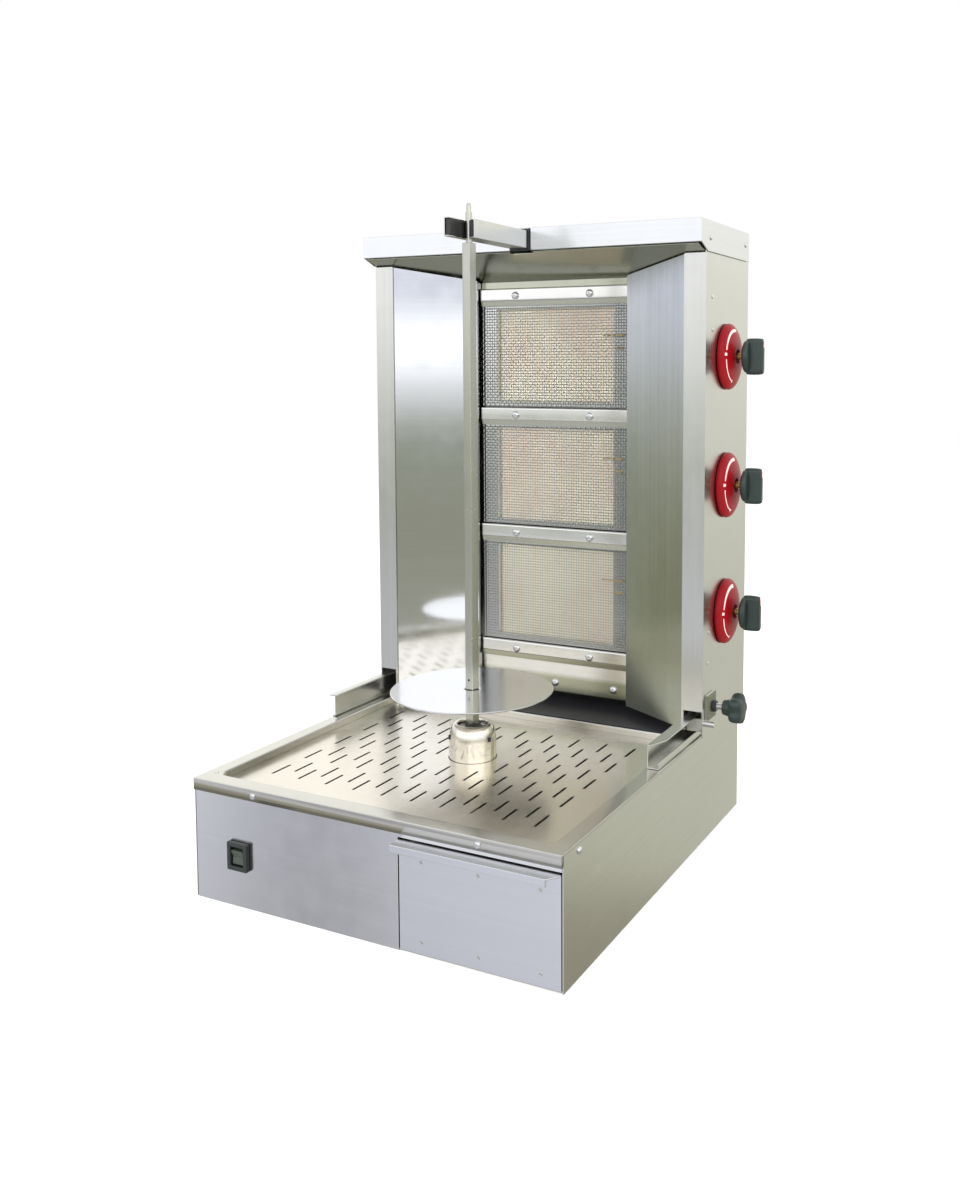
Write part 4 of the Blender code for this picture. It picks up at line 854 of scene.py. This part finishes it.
@dataclass
class Spindle:
    """Everything that turns with the spit: hub, bar with its pin, disc, shaft and gear."""

    body: str = "spindle"
    rest_turn: float = math.radians(-12)
    grub_ring: float = 0.0295
    grub_turns: Point = (-2.35, -0.25, 1.85)
    cap_ring: float = 0.0140
    cap_turns: Point = (0.5, 2.3, 4.1)
    bar_half: float = 0.00625
    bar_holes: Pair = (0.2400, 0.2126)

    def build(self) -> None:
        """Makes the turning pieces."""
        axis = middle("output_shaft")
        self.centre = (axis.x, axis.y)
        self.hub()
        self.bar()
        self.disc()
        dress_nodes(TURNED_STEEL, "output_shaft")
        dress_nodes(CAST_METAL, "output_gear")
        dress_nodes(BRASS, "motor_pinion")

    def hub(self) -> None:
        """Hub: straight wall, shoulder r = a + b cos t, z = c + d sin t, and a socket sunk on top whose
        near-black floor is painted shade.
        """
        low, high = box("hub")
        top, shoulder_foot = high.z, 0.160
        angle = np.linspace(0.0, np.pi / 2, 14)
        rise = shoulder_foot + (top - shoulder_foot) * np.sin(angle)
        profile = [(low.z, 0.0), (low.z, 0.0300), (low.z + 0.0005, 0.0305)]
        profile += list(zip(rise, 0.0228 + 0.0077 * np.cos(angle)))
        profile += [(top, 0.0205), (top - 0.0006, 0.0200), (top - 0.0040, 0.0195), (top - 0.0042, 0.0)]
        dress(revolved("hub_body", profile, self.centre, Axis.Z, 96), TURNED_STEEL, self.body, "hub")
        # Near-black disc over the socket's floor: painted shade in the socket.
        line = [(top - 0.0046, 0.0), (top - 0.0046, 0.0192), (top - 0.0030, 0.0192), (top - 0.0026, 0.0)]
        dress(revolved("hub_socket", line, self.centre, Axis.Z, 48), DARK_ENAMEL_AND_SHADE, self.body)
        line = [
            (0.1635, 0.0), (0.1635, 0.0012), (0.1645, 0.0026), (0.1690, 0.0026),
            (0.1700, 0.0012), (0.1700, 0.0),
        ]
        for number, turn in enumerate(self.grub_turns, start=1):
            plug = revolved(f"hub_grub_hole_{number}", line, self.around(self.grub_ring, turn), Axis.Z, 20)
            dress(plug, DARK_ENAMEL_AND_SHADE, self.body)
        cap = Screw(0.0036, 0.0026, SPIT_STEEL)
        for number, turn in enumerate(self.cap_turns, start=1):
            place = (*self.around(self.cap_ring, turn), top - 0.0030)
            cap.fit(f"hub_socket_screw_{number}", place, Axis.Z, 1.0, self.body)

    def around(self, radius: float, turn: float) -> Pair:
        """X and Y at a radius and an angle about the spindle."""
        return self.centre[0] + radius * math.cos(turn), self.centre[1] + radius * math.sin(turn)

    def bar(self) -> None:
        """Square bar with small corner radii, a pin that steps in on top and two dark cross holes."""
        low, high = box("spit")
        top, shoulder, half = high.z, box("arm")[0].z - 0.0055, self.bar_half
        ends = (low.z, shoulder)
        bar = rounded_bar("spit_bar", self.centre, (half, half), 0.0009, ends, 0.0006, Axis.Z, self.rest_turn)
        dress(bar, SPIT_STEEL, self.body, "spit")
        profile = [
            (shoulder - 0.001, 0.0), (shoulder - 0.001, 0.0042), (top - 0.012, 0.0042), (top - 0.010, 0.0030),
            (top - 0.0015, 0.0030), (top - 0.0004, 0.0022), (top, 0.0),
        ]
        dress(revolved("spit_pin", profile, self.centre, Axis.Z, 32), SPIT_STEEL, self.body)
        c, s = math.cos(self.rest_turn), math.sin(self.rest_turn)
        reach = half + 0.00015
        for number, z in enumerate(self.bar_holes, start=1):
            path = np.array([[[self.centre[0] + t * s, self.centre[1] - t * c, z] for t in (-reach, reach)]])
            hole = rods(f"spit_cross_hole_{number}", path, 0.0017, (c, s, 0.0), 16)
            dress(hole, DARK_ENAMEL_AND_SHADE, self.body)

    def disc(self) -> None:
        """Thin disc with a rolled rim, in one profile with the collar below it."""
        low, high = box("meat_disc")
        top, under = high.z, high.z - 0.0020
        profile = [
            (low.z, 0.0088), (low.z, 0.0132), (low.z + 0.0008, 0.0140), (top - 0.0060, 0.0140),
            (top - 0.0028, 0.0152), (under, 0.0180), (under, 0.0190), (under, 0.1032), (under, 0.1042),
            (top - 0.0014, 0.1050), (top - 0.0006, 0.1050), (top, 0.1042), (top, 0.1034), (top, 0.0108),
            (top, 0.0100), (top - 0.0005, 0.0092), (low.z, 0.0088),
        ]
        dress(revolved("meat_plate", profile, self.centre, Axis.Z, 128), DISC_STEEL, self.body, "meat_disc")


@dataclass
class BurnerColumn:
    """The sliding column: side sheets, hood, liner, wings, brackets and the lower panel."""

    body: str = "column"
    sheet: float = 0.0015
    bend: float = 0.0012
    bracket_screws: Pair = (-0.060, 0.060)
    cover_screws: Pair = (0.0028, 0.0966)
    cover_screw_height: float = 0.178
    hood_screws: tuple[Pair, ...] = ((0.1165, 0.8077), (0.262, 0.812))
    back_screws: tuple[float, ...] = (0.800, 0.630, 0.455, 0.270)
    side_wall: float = 0.258
    side_rivets: tuple[Pair, ...] = ((0.1316, 0.7336), (0.1328, 0.691), (0.1295, 0.290), (0.1246, 0.250))
    shoe_bolt: Pair = (0.120, 0.168)

    def build(self) -> None:
        """Makes the column's sheets and their fasteners."""
        for word, finish in (("left", LEFT_WING), ("right", RIGHT_WING)):
            softened(f"side_panel_{word}", f"column_side_{word}", COLUMN_SIDE, self.body, 0.0005)
            softened(f"wing_{word}", f"reflector_wing_{word}", finish, self.body, 0.0003)
        softened("hood", "hood_cap", HOOD_SHEET, self.body, 0.0006)
        # The liner's darker steel is painted shade.
        softened("heat_deflector", "hood_liner", HOOD_LINER_SHADED, self.body, 0.0003)
        self.arm_slot()
        dress_nodes(COLUMN_SIDE, "back_panel")
        self.brackets()
        self.lower_cover()
        self.fasteners()

    def arm_slot(self) -> None:
        """Black frame round the arm where it enters the hood: two outlines carried a short way back."""
        low, high = box("arm_guide")
        arm_low, arm_high = box("arm")
        centre = ((low.x + high.x) / 2, (arm_low.z + arm_high.z) / 2)
        half = ((arm_high.x - arm_low.x) / 2, (arm_high.z - arm_low.z) / 2)
        outer = rounded_rectangle(((high.x - low.x) / 2, half[1] + 0.0022), 0.0015, 4)
        inner = rounded_rectangle((half[0] + 0.0003, half[1] + 0.0003), 0.0004, 4)
        front, back = low.y, low.y + 0.007
        steps = ((outer, front), (outer, back), (inner, back), (inner, front), (outer, front))
        rings = np.stack([ring_at(outline, centre, level, Axis.Y) for outline, level in steps])
        piece = put_mesh("arm_slot_frame", rings, grid_faces(*rings.shape[:2]))
        dress(piece, GUIDE_PLASTIC, self.body, "arm_guide")

    def bent_cover(self, name: str, node: str, finish: Finish) -> None:
        """A sheet whose top and bottom edges are folded back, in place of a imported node."""
        low, high = box(node)
        path = [(high.y, high.z), (low.y, high.z), (low.y, low.z), (high.y, low.z)]
        sheet = folded_sheet(name, path, self.sheet, self.bend, Axis.X, (low.x, high.x))
        dress(sheet, finish, self.body, node)

    def brackets(self) -> None:
        """Bent brackets over the burners' edges, each with a lip under its lower fold, darker as painted
        shade, and two screws.
        """
        screw = Screw(0.0060, 0.0036)
        for number in (1, 2, 3, 4):
            low, high = box(f"bracket_{number}")
            self.bent_cover(f"burner_bracket_{number}", f"bracket_{number}", BRACKET_SHEET)
            path = [(low.y + 0.0002, low.z + 0.0006), (low.y + 0.0016, low.z - 0.0068)]
            ends = (low.x + 0.0006, high.x - 0.0006)
            lip = folded_sheet(f"bracket_lip_{number}", path, 0.0008, self.bend, Axis.X, ends)
            # The lip's darker steel is painted shade.
            dress(lip, BRACKET_LIP_SHADED, self.body)
            for word, x in zip(("left", "right"), self.bracket_screws):
                place = (x, low.y, (low.z + high.z) / 2 - 0.0015)
                screw.fit(f"bracket_screw_{number}_{word}", place, Axis.Y, -1.0, self.body)

    def lower_cover(self) -> None:
        """Lower panel under the burners, with two screws."""
        self.bent_cover("lower_cover", "lower_panel", LOWER_SHEET)
        screw = Screw(0.0060, 0.0036)
        for number, x in enumerate(self.cover_screws, start=1):
            place = (x, box("lower_panel")[0].y, self.cover_screw_height)
            screw.fit(f"lower_cover_screw_{number}", place, Axis.Y, -1.0, self.body)

    def fasteners(self) -> None:
        """Screws on the hood's right side and the back, rivets on the sides, and the shoe's bolt."""
        edge = box("hood")[1].x
        for number, (y, z) in enumerate(self.hood_screws, start=1):
            Screw(0.0036, 0.0016).fit(f"hood_screw_{number}", (edge, y, z), Axis.X, 1.0, self.body)
        back = box("back_panel")[1]
        for side, word in SIDES:
            for number, z in enumerate(self.back_screws, start=1):
                place = (side * (back.x - 0.010), back.y, z)
                Screw(0.0038, 0.0018).fit(f"back_screw_{word}_{number}", place, Axis.Y, 1.0, self.body)
        for side, word in SIDES:
            for number, (y, z) in enumerate(self.side_rivets, start=1):
                place = (side * self.side_wall, y, z)
                Screw(0.0030, 0.0010).fit(f"side_rivet_{word}_{number}", place, Axis.X, side, self.body)
        profile = [(0.2575, 0.0), (0.2575, 0.0037), (0.2690, 0.0037), (0.2700, 0.0028), (0.2700, 0.0)]
        dress(revolved("shoe_bolt", profile, self.shoe_bolt, Axis.X, 24), SCREW_STEEL, self.body)


@dataclass
class Burner:
    """One infrared burner: box, plaque, woven guard, igniter and flame probe."""

    number: int
    body: str = "column"
    pitch: float = 0.0040
    wire: float = 0.00064
    swing: float = 0.00045
    margin: float = 0.0010
    probe_root: float = 0.1125

    def build(self) -> None:
        """Makes the guard and the probes and dresses the box and the plaque."""
        dress_nodes(BURNER_STEEL, f"burner_{self.number}")
        dress_nodes(PLAQUE, f"ceramic_{self.number}")
        self.guard()
        self.probes()

    def guard(self) -> None:
        """Plain weave: wire k lies at y + a(-1)^k cos(pi x / p), and the upright wires the other way."""
        low, high = box(f"guard_{self.number}")
        y, edge = (low.y + high.y) / 2, self.margin
        xs = np.linspace(low.x + edge, high.x - edge, round((high.x - low.x) / self.pitch) + 1)
        zs = np.linspace(low.z + edge, high.z - edge, round((high.z - low.z) / self.pitch) + 1)

        def wave(across: Array, along: Array) -> tuple[Array, Array]:
            """Places along a wire, and its swing for each wire across."""
            wide = along[1] - along[0]
            steps = np.arange(2 * len(along) - 1) * wide / 2
            sign = np.where(np.arange(len(across)) % 2, -1.0, 1.0)[:, None]
            return along[0] + steps[None, :], self.swing * sign * np.cos(np.pi * steps / wide)[None, :]

        along, bend = wave(zs, xs)
        flat = np.stack(np.broadcast_arrays(along, y + bend, zs[:, None]), axis=-1)
        along, bend = wave(xs, zs)
        upright = np.stack(np.broadcast_arrays(xs[:, None], y - bend, along), axis=-1)
        weft = rods(f"guard_weft_{self.number}", flat, self.wire, (0.0, 1.0, 0.0), 4)
        dress(weft, WIRE_STEEL, self.body, f"guard_{self.number}")
        warp = rods(f"guard_warp_{self.number}", upright, self.wire, (1.0, 0.0, 0.0), 4, (0.0, 1.0, 0.0))
        dress(warp, WIRE_STEEL, self.body)

    def probes(self) -> None:
        """Igniter and flame probe: thin rods through brass ferrules on the box's right margin."""
        top, root = box(f"ceramic_{self.number}")[1].z, self.probe_root
        y = box(f"burner_{self.number}")[0].y - 0.0012
        profile = [
            (0.0985, 0.0), (0.0985, 0.0010), (0.0990, 0.0018), (0.1090, 0.0018),
            (0.1095, 0.0010), (0.1095, 0.0),
        ]
        for word, depth, reach in (("igniter", 0.040, 0.034), ("flame_probe", 0.058, 0.020)):
            z = top - depth
            path = np.array([[[root - reach, y, z], [root, y, z]]])
            dress(rods(f"{word}_{self.number}", path, 0.0009, (0.0, 1.0, 0.0), 12), BRASS, self.body)
            ferrule = revolved(f"{word}_ferrule_{self.number}", profile, (y, z), Axis.X, 16)
            dress(ferrule, BRASS, self.body)


@dataclass
class GasControl:
    """One gas tap: domed dial with its marks, brass stem and bar-grip knob."""

    number: int
    body: str = "column"
    rim: float = 0.0445

    def build(self) -> None:
        """Makes the dial, marks, stem and knob, and dresses the tap."""
        place = middle(f"dial_{self.number}")
        self.centre = (place.y, place.z)
        self.wall = box(f"dial_{self.number}")[0].x
        self.dial()
        self.marks()
        self.stem()
        self.knob()
        dress_nodes(BRASS, f"valve_{self.number}")

    def rise(self, radius: Array) -> Array:
        """Height of the dial's face over the wall at a radius: h = a + b sqrt(1 - (r / R)^2)."""
        return 0.0028 + 0.0130 * np.sqrt(np.maximum(0.0, 1.0 - (radius / self.rim) ** 2))

    def profile(self) -> list:
        """Dial section as (distance from the wall, radius): rolled rim, domed face, socket for the stem."""
        radii = self.rim * np.sin(np.linspace(np.pi / 2, 0.24, 22))
        line = [(0.0, 0.0), (0.0, 0.0430), (0.0006, 0.0441), (0.0016, self.rim)]
        line += list(zip(self.rise(radii), radii))
        return line + [(0.0150, 0.0098), (0.0122, 0.0092), (0.0120, 0.0086), (0.0120, 0.0)]

    def dial(self) -> None:
        """Turned dial plate."""
        line = [(self.wall + distance, radius) for distance, radius in self.profile()]
        piece = revolved(f"dial_plate_{self.number}", line, self.centre, Axis.X, 96, sharp=60.0)
        dress(piece, DIAL_ENAMEL, self.body, f"dial_{self.number}")

    def ribbon(self, name: str, turn: Pair, radius: float, width: Pair) -> None:
        """A raised mark: its section's corners follow the dial's slope while it runs round the dial.

        Args:
            name: name of the piece.
            turn: first and last angle in degrees, from +Y towards +Z.
            radius: mean radius of the mark.
            width: width at the first and at the last angle.
        """
        steps, proud, sunk = 40, 0.0003, 0.0006
        rings = []
        for angle, wide in zip(np.radians(np.linspace(*turn, steps)), np.linspace(*width, steps)):
            reach = radius + wide / 2 * np.array([-1.0, 1.0, 1.0, -1.0])
            height = self.rise(reach) + np.array([proud, proud, -sunk, -sunk])
            y, z = self.centre[0] + reach * np.cos(angle), self.centre[1] + reach * np.sin(angle)
            rings.append(on_axis(y, z, self.wall + height, Axis.X))
        piece = closed_rows(f"{name}_{self.number}", np.stack(rings), 50.0)
        dress(piece, MARK_ENAMEL, self.body)

    def marks(self) -> None:
        """Full-flame arc that narrows, a small star where it ends and a thin low-flame arc."""
        self.ribbon("full_flame_arc", (84.0, 166.0), 0.0352, (0.0042, 0.0016))
        self.ribbon("flame_star", (172.0, 178.0), 0.0360, (0.0034, 0.0044))
        self.ribbon("low_flame_arc", (186.0, 246.0), 0.0352, (0.0012, 0.0010))
        self.ribbon("low_flame_spot", (248.0, 252.0), 0.0352, (0.0030, 0.0030))

    def stem(self) -> None:
        """Brass stem with a collar and a groove."""
        low, high = box(f"valve_stem_{self.number}")
        foot = self.wall + 0.0140
        profile = [(low.x, 0.0), (low.x, 0.0038)]
        profile += [(foot + 0.0008, 0.0040), (foot + 0.0010, 0.0052), (foot + 0.0040, 0.0052)]
        profile += [(foot + 0.0044, 0.0040), (foot + 0.0056, 0.0040), (foot + 0.0060, 0.0034)]
        profile += [(foot + 0.0072, 0.0034), (foot + 0.0076, 0.0040)]
        profile += [(high.x - 0.0004, 0.0040), (high.x, 0.0)]
        piece = revolved(f"tap_stem_{self.number}", profile, self.centre, Axis.X, 32)
        dress(piece, BRASS, f"stem_{self.number}", f"valve_stem_{self.number}")

    def knob(self) -> None:
        """Round skirt, and an upright bar grip whose rings draw in towards its outer end."""
        body = f"knob_{self.number}"
        low, high = box(body)
        wall = low.x
        skirt = [
            (wall, 0.0), (wall, 0.0190), (wall + 0.0010, 0.0212), (wall + 0.0035, 0.0224),
            (wall + 0.0060, 0.0220), (wall + 0.0080, 0.0200), (wall + 0.0090, 0.0150), (wall + 0.0092, 0.0),
        ]
        piece = revolved(f"knob_skirt_{self.number}", skirt, self.centre, Axis.X, 64, sharp=60.0)
        dress(piece, KNOB_PLASTIC, body, body)
        grip = (
            (0.0, 0.0066, 0.0235), (0.05, 0.0070, 0.0240), (0.25, 0.0068, 0.0243), (0.50, 0.0062, 0.0244),
            (0.75, 0.0058, 0.0242), (0.90, 0.0054, 0.0236), (0.97, 0.0046, 0.0226), (1.0, 0.0030, 0.0205),
        )
        start, end = wall + 0.0030, high.x - 0.0004
        rings = []
        for share, wide, tall in grip:
            outline = rounded_rectangle((wide, tall), min(wide, 0.0058) * 0.95, 8)
            rings.append(ring_at(outline, self.centre, start + share * (end - start), Axis.X))
        piece = closed_rows(f"knob_grip_{self.number}", np.stack(rings), 50.0)
        dress(piece, KNOB_PLASTIC, body)
        place, ends = (self.centre[0], self.centre[1] + 0.0168), (high.x - 0.0010, high.x)
        half = (0.0009, 0.0052)
        mark = rounded_bar(f"knob_pointer_{self.number}", place, half, 0.0007, ends, 0.0001, Axis.X)
        dress(mark, MARK_ENAMEL, body)


@dataclass
class ColumnClamp:
    """Hand clamp that locks the column on its rail: lobed knob, cone neck, stud, nut, plate and foot."""

    height: float = 0.189
    thread_turns: int = 30
    thread_pitch: float = 0.00085

    def build(self) -> None:
        """Makes the clamp."""
        low, high = box("clamp_knob")
        centre, out = (middle("clamp_pad").y, self.height), high.x
        grip = [
            (out - 0.0180, 0.0), (out - 0.0180, 0.0120), (out - 0.0172, 0.0165), (out - 0.0150, 0.0186),
            (out - 0.0110, 0.0194), (out - 0.0060, 0.0194), (out - 0.0030, 0.0182), (out - 0.0012, 0.0150),
            (out - 0.0003, 0.0100), (out, 0.0),
        ]
        knob = revolved("clamp_grip", grip, centre, Axis.X, 120, 5, 0.10, 70.0)
        dress(knob, KNOB_PLASTIC, "clamp_knob", "clamp_knob")
        neck = [
            (out - 0.0300, 0.0), (out - 0.0300, 0.0060), (out - 0.0285, 0.0096), (out - 0.0230, 0.0108),
            (out - 0.0175, 0.0116), (out - 0.0170, 0.0),
        ]
        dress(revolved("clamp_neck", neck, centre, Axis.X, 48), KNOB_PLASTIC, "clamp_knob")
        stud = [(low.x, 0.0), (low.x, 0.0034)]
        for turn in range(self.thread_turns):
            x = low.x + 0.0008 + turn * self.thread_pitch
            stud += [(x, 0.0040), (x + 0.00042, 0.0034)]
        stud += [(out - 0.0290, 0.0034), (out - 0.0290, 0.0)]
        dress(revolved("clamp_stud", stud, centre, Axis.X, 32), SCREW_STEEL, "clamp_knob")
        section = [
            (0.2615, 0.0050), (0.2615, 0.0070), (0.2620, 0.0078), (0.2672, 0.0078), (0.2678, 0.0070),
            (0.2678, 0.0050), (0.2615, 0.0050),
        ]
        dress(revolved("clamp_nut", section, centre, Axis.X, 6), DARK_ENAMEL_AND_SHADE, "column")
        ends = (0.2598, 0.2614)
        plate = rounded_bar("clamp_plate", centre, (0.0155, 0.0168), 0.0016, ends, 0.0004, Axis.X)
        dress(plate, PLATE_ENAMEL, "column")
        dress_nodes(GUIDE_PLASTIC, "clamp_pad")


@dataclass
class SpitArm:
    """Arm over the spit: bent tube with an open, slotted end and the black pin block in it."""

    body: str = "arm"

    def build(self) -> None:
        """Makes the tube and its block."""
        softened("arm", "arm_tube", RAIL_STEEL, self.body, 0.0005)
        softened("arm_pin_block", "pin_block", GUIDE_PLASTIC, self.body, 0.0008)


# the mirrored room: (0.5 + half the sine of the height above the horizon, colour)
FRONT_LEFT_ROOM = (
    (0.00, (0.70, 0.70, 0.73)), (0.27, (0.74, 0.75, 0.80)), (0.35, (0.92, 0.94, 1.05)),
    (0.400, (0.80, 0.81, 0.90)), (0.430, (0.46, 0.49, 0.42)), (0.470, (0.36, 0.41, 0.31)),
    (0.488, (0.60, 0.64, 0.58)), (0.502, (1.45, 1.46, 1.50)), (0.70, (1.25, 1.26, 1.30)),
    (1.00, (0.85, 0.88, 0.92)),
)
FRONT_RIGHT_ROOM = (
    (0.00, (0.60, 0.60, 0.62)), (0.38, (0.46, 0.46, 0.40)), (0.43, (0.36, 0.37, 0.29)),
    (0.472, (0.40, 0.43, 0.36)), (0.494, (1.10, 1.12, 1.18)), (0.508, (1.90, 1.90, 1.95)),
    (0.520, (1.50, 1.52, 1.60)), (0.534, (0.74, 0.76, 0.90)), (0.57, (1.60, 1.62, 1.70)),
    (0.66, (1.90, 1.90, 1.95)), (1.00, (0.95, 0.95, 0.95)),
)
LEFT_ROOM = (
    (0.00, (0.40, 0.38, 0.34)), (0.40, (0.30, 0.30, 0.22)), (0.46, (0.36, 0.37, 0.29)),
    (0.500, (0.52, 0.54, 0.50)), (0.520, (0.80, 0.83, 0.95)), (0.56, (0.90, 0.93, 1.05)),
    (1.00, (0.95, 0.95, 0.95)),
)
BACK_ROOM = (
    (0.00, (0.30, 0.28, 0.23)), (0.278, (0.40, 0.38, 0.30)), (0.292, (0.66, 0.66, 0.56)),
    (0.40, (0.74, 0.74, 0.65)), (0.47, (0.88, 0.87, 0.79)), (0.52, (1.00, 0.99, 0.90)),
    (0.60, (1.25, 1.24, 1.20)), (1.00, (0.95, 0.97, 1.00)),
)


@dataclass
class Studio:
    """Pale floor, a surround that metal mirrors, soft lights and the camera."""

    floor_half: float = 8.0
    lens: float = 33.83
    azimuth: float = math.radians(26.06)
    elevation: float = math.radians(4.51)

    def build(self) -> None:
        """Makes the stage."""
        self.floor()
        self.surround()
        self.lights()
        self.camera()

    def floor(self) -> None:
        """A pale plane just under the base."""
        signs = np.array([(-1, -1), (1, -1), (1, 1), (-1, 1)])
        corners = np.column_stack([self.floor_half * signs, np.full(4, -0.0006)])
        plane = put_mesh("floor", corners, [[0, 1, 2, 3]])
        dress(plane, FLOOR_PAINT)
        plane.visible_glossy = False
        bpy.context.scene.view_settings.view_transform = "Standard"

    def surround(self) -> None:
        """Room light: plain white to the eye, neutral for soft light, and banded where metal mirrors it.

        The mirrored room is mixed from four sectors by the heading a = atan2(x, -y); in each the
        colour follows the height of the direction.
        """
        world = bpy.data.worlds.new("studio")
        world.use_nodes = True
        bpy.context.scene.world = world
        tree = world.node_tree
        tree.nodes.clear()
        place = split_up(tree, tree.nodes.new("ShaderNodeTexCoord").outputs["Generated"])
        forward = arithmetic(tree, "MULTIPLY", place["Y"], -1.0)
        heading = arithmetic(tree, "ARCTAN2", place["X"], forward)
        height = arithmetic(tree, "MULTIPLY_ADD", place["Z"], 0.5, 0.5)
        shade = arithmetic(
            tree, "MULTIPLY", self.window(tree, heading, (-0.80, -0.72, -0.66, -0.58)),
            self.window(tree, height, (-0.2, -0.1, 0.36, 0.40)),
        )
        shade = arithmetic(tree, "MULTIPLY", shade, 0.55)
        front_left = mixed(tree, shade, self.ramp(tree, height, FRONT_LEFT_ROOM), (0.05, 0.05, 0.05, 1.0))
        room = self.ramp(tree, height, BACK_ROOM)
        for edges, sector in (
            ((-1.15, -0.95, 0.05, 0.25), front_left),
            ((0.05, 0.25, 1.40, 1.70), self.ramp(tree, height, FRONT_RIGHT_ROOM)),
            ((-2.10, -1.85, -1.15, -0.95), self.ramp(tree, height, LEFT_ROOM)),
        ):
            room = mixed(tree, self.window(tree, heading, edges), room, sector)
        path = tree.nodes.new("ShaderNodeLightPath").outputs
        soft = self.background(tree, (0.98, 0.99, 1.0, 1.0), 1.12)
        seen = self.background(tree, (1.0, 1.0, 1.0, 1.0), 1.0)
        unseen = self.either(tree, path["Is Glossy Ray"], soft, self.background(tree, room, 1.0))
        light = self.either(tree, path["Is Camera Ray"], unseen, seen)
        tree.links.new(light, tree.nodes.new("ShaderNodeOutputWorld").inputs["Surface"])

    def ramp(self, tree: Tree, value: Socket, stops: tuple) -> Socket:
        """Colour by value through (place, colour) stops."""
        node = tree.nodes.new("ShaderNodeValToRGB")
        line = node.color_ramp.elements
        line[0].position, line[0].color = stops[0][0], (*stops[0][1], 1.0)
        line[-1].position, line[-1].color = stops[-1][0], (*stops[-1][1], 1.0)
        for place, colour in stops[1:-1]:
            line.new(place).color = (*colour, 1.0)
        tree.links.new(value, node.inputs[0])
        return node.outputs[0]

    def window(self, tree: Tree, value: Socket, edges: tuple[float, float, float, float]) -> Socket:
        """Smooth window: rises between the first two edges and falls between the last two."""
        rise = mapped(tree, value, edges[0], edges[1])
        return arithmetic(tree, "MULTIPLY", rise, mapped(tree, value, edges[3], edges[2]))

    def either(self, tree: Tree, share: Socket, first: Socket, second: Socket) -> Socket:
        """Mixes two shaders by a share."""
        node = tree.nodes.new("ShaderNodeMixShader")
        for socket, given in zip(node.inputs, (share, first, second)):
            tree.links.new(given, socket)
        return node.outputs[0]

    def background(self, tree: Tree, colour: Socket | Colour, strength: float) -> Socket:
        """A background of one colour, given or linked."""
        node = tree.nodes.new("ShaderNodeBackground")
        node.inputs["Strength"].default_value = strength
        feed(tree, node.inputs["Color"], colour)
        return node.outputs[0]

    def lights(self) -> None:
        """Three large soft lights: over the left shoulder, from the right and from above behind."""
        aim = Vector((0.0, 0.0, 0.4))
        for name, place, size, power in (
            ("key_light", (-0.7, -2.6, 1.3), 1.6, 95.0),
            ("side_light", (2.6, -0.6, 1.6), 1.6, 30.0),
            ("top_light", (0.2, 0.6, 3.0), 2.0, 40.0),
        ):
            data = bpy.data.lights.new(name, "AREA")
            data.size, data.energy = size, power
            lamp = bpy.data.objects.new(name, data)
            lamp.location = place
            lamp.visible_glossy = False
            lamp.rotation_euler = (aim - Vector(place)).to_track_quat("-Z", "Y").to_euler()
            bpy.context.scene.collection.objects.link(lamp)

    def camera(self) -> None:
        """Camera a little above the middle of the column, to the right of the front."""
        data = bpy.data.cameras.new("camera")
        data.lens, data.sensor_width = self.lens, 36.0
        data.shift_x, data.shift_y = -0.0808, -0.1194
        data.clip_start, data.clip_end = 0.05, 60.0
        eye = bpy.data.objects.new("camera", data)
        eye.location = (0.7496, -1.2758, 0.6411)
        ahead = Vector((
            -math.sin(self.azimuth) * math.cos(self.elevation),
            math.cos(self.azimuth) * math.cos(self.elevation),
            -math.sin(self.elevation),
        ))
        eye.rotation_euler = ahead.to_track_quat("-Z", "Y").to_euler()
        bpy.context.scene.collection.objects.link(eye)
        bpy.context.scene.camera = eye


def main() -> None:
    """Builds each sub-assembly in order."""
    logging.basicConfig(level=logging.INFO, format="%(name)s: %(message)s")
    parts = [Studio(), Cabinet(), Drawer(), Spindle(), BurnerColumn()]
    parts += [Burner(number) for number in (1, 2, 3)]
    parts += [GasControl(number) for number in (1, 2, 3)]
    parts += [ColumnClamp(), SpitArm()]
    for part in parts:
        part.build()
        LOG.info("built %s", type(part).__name__)
    dress_nodes(BRASS, "gas_manifold")


if __name__ == "__main__":
    main()
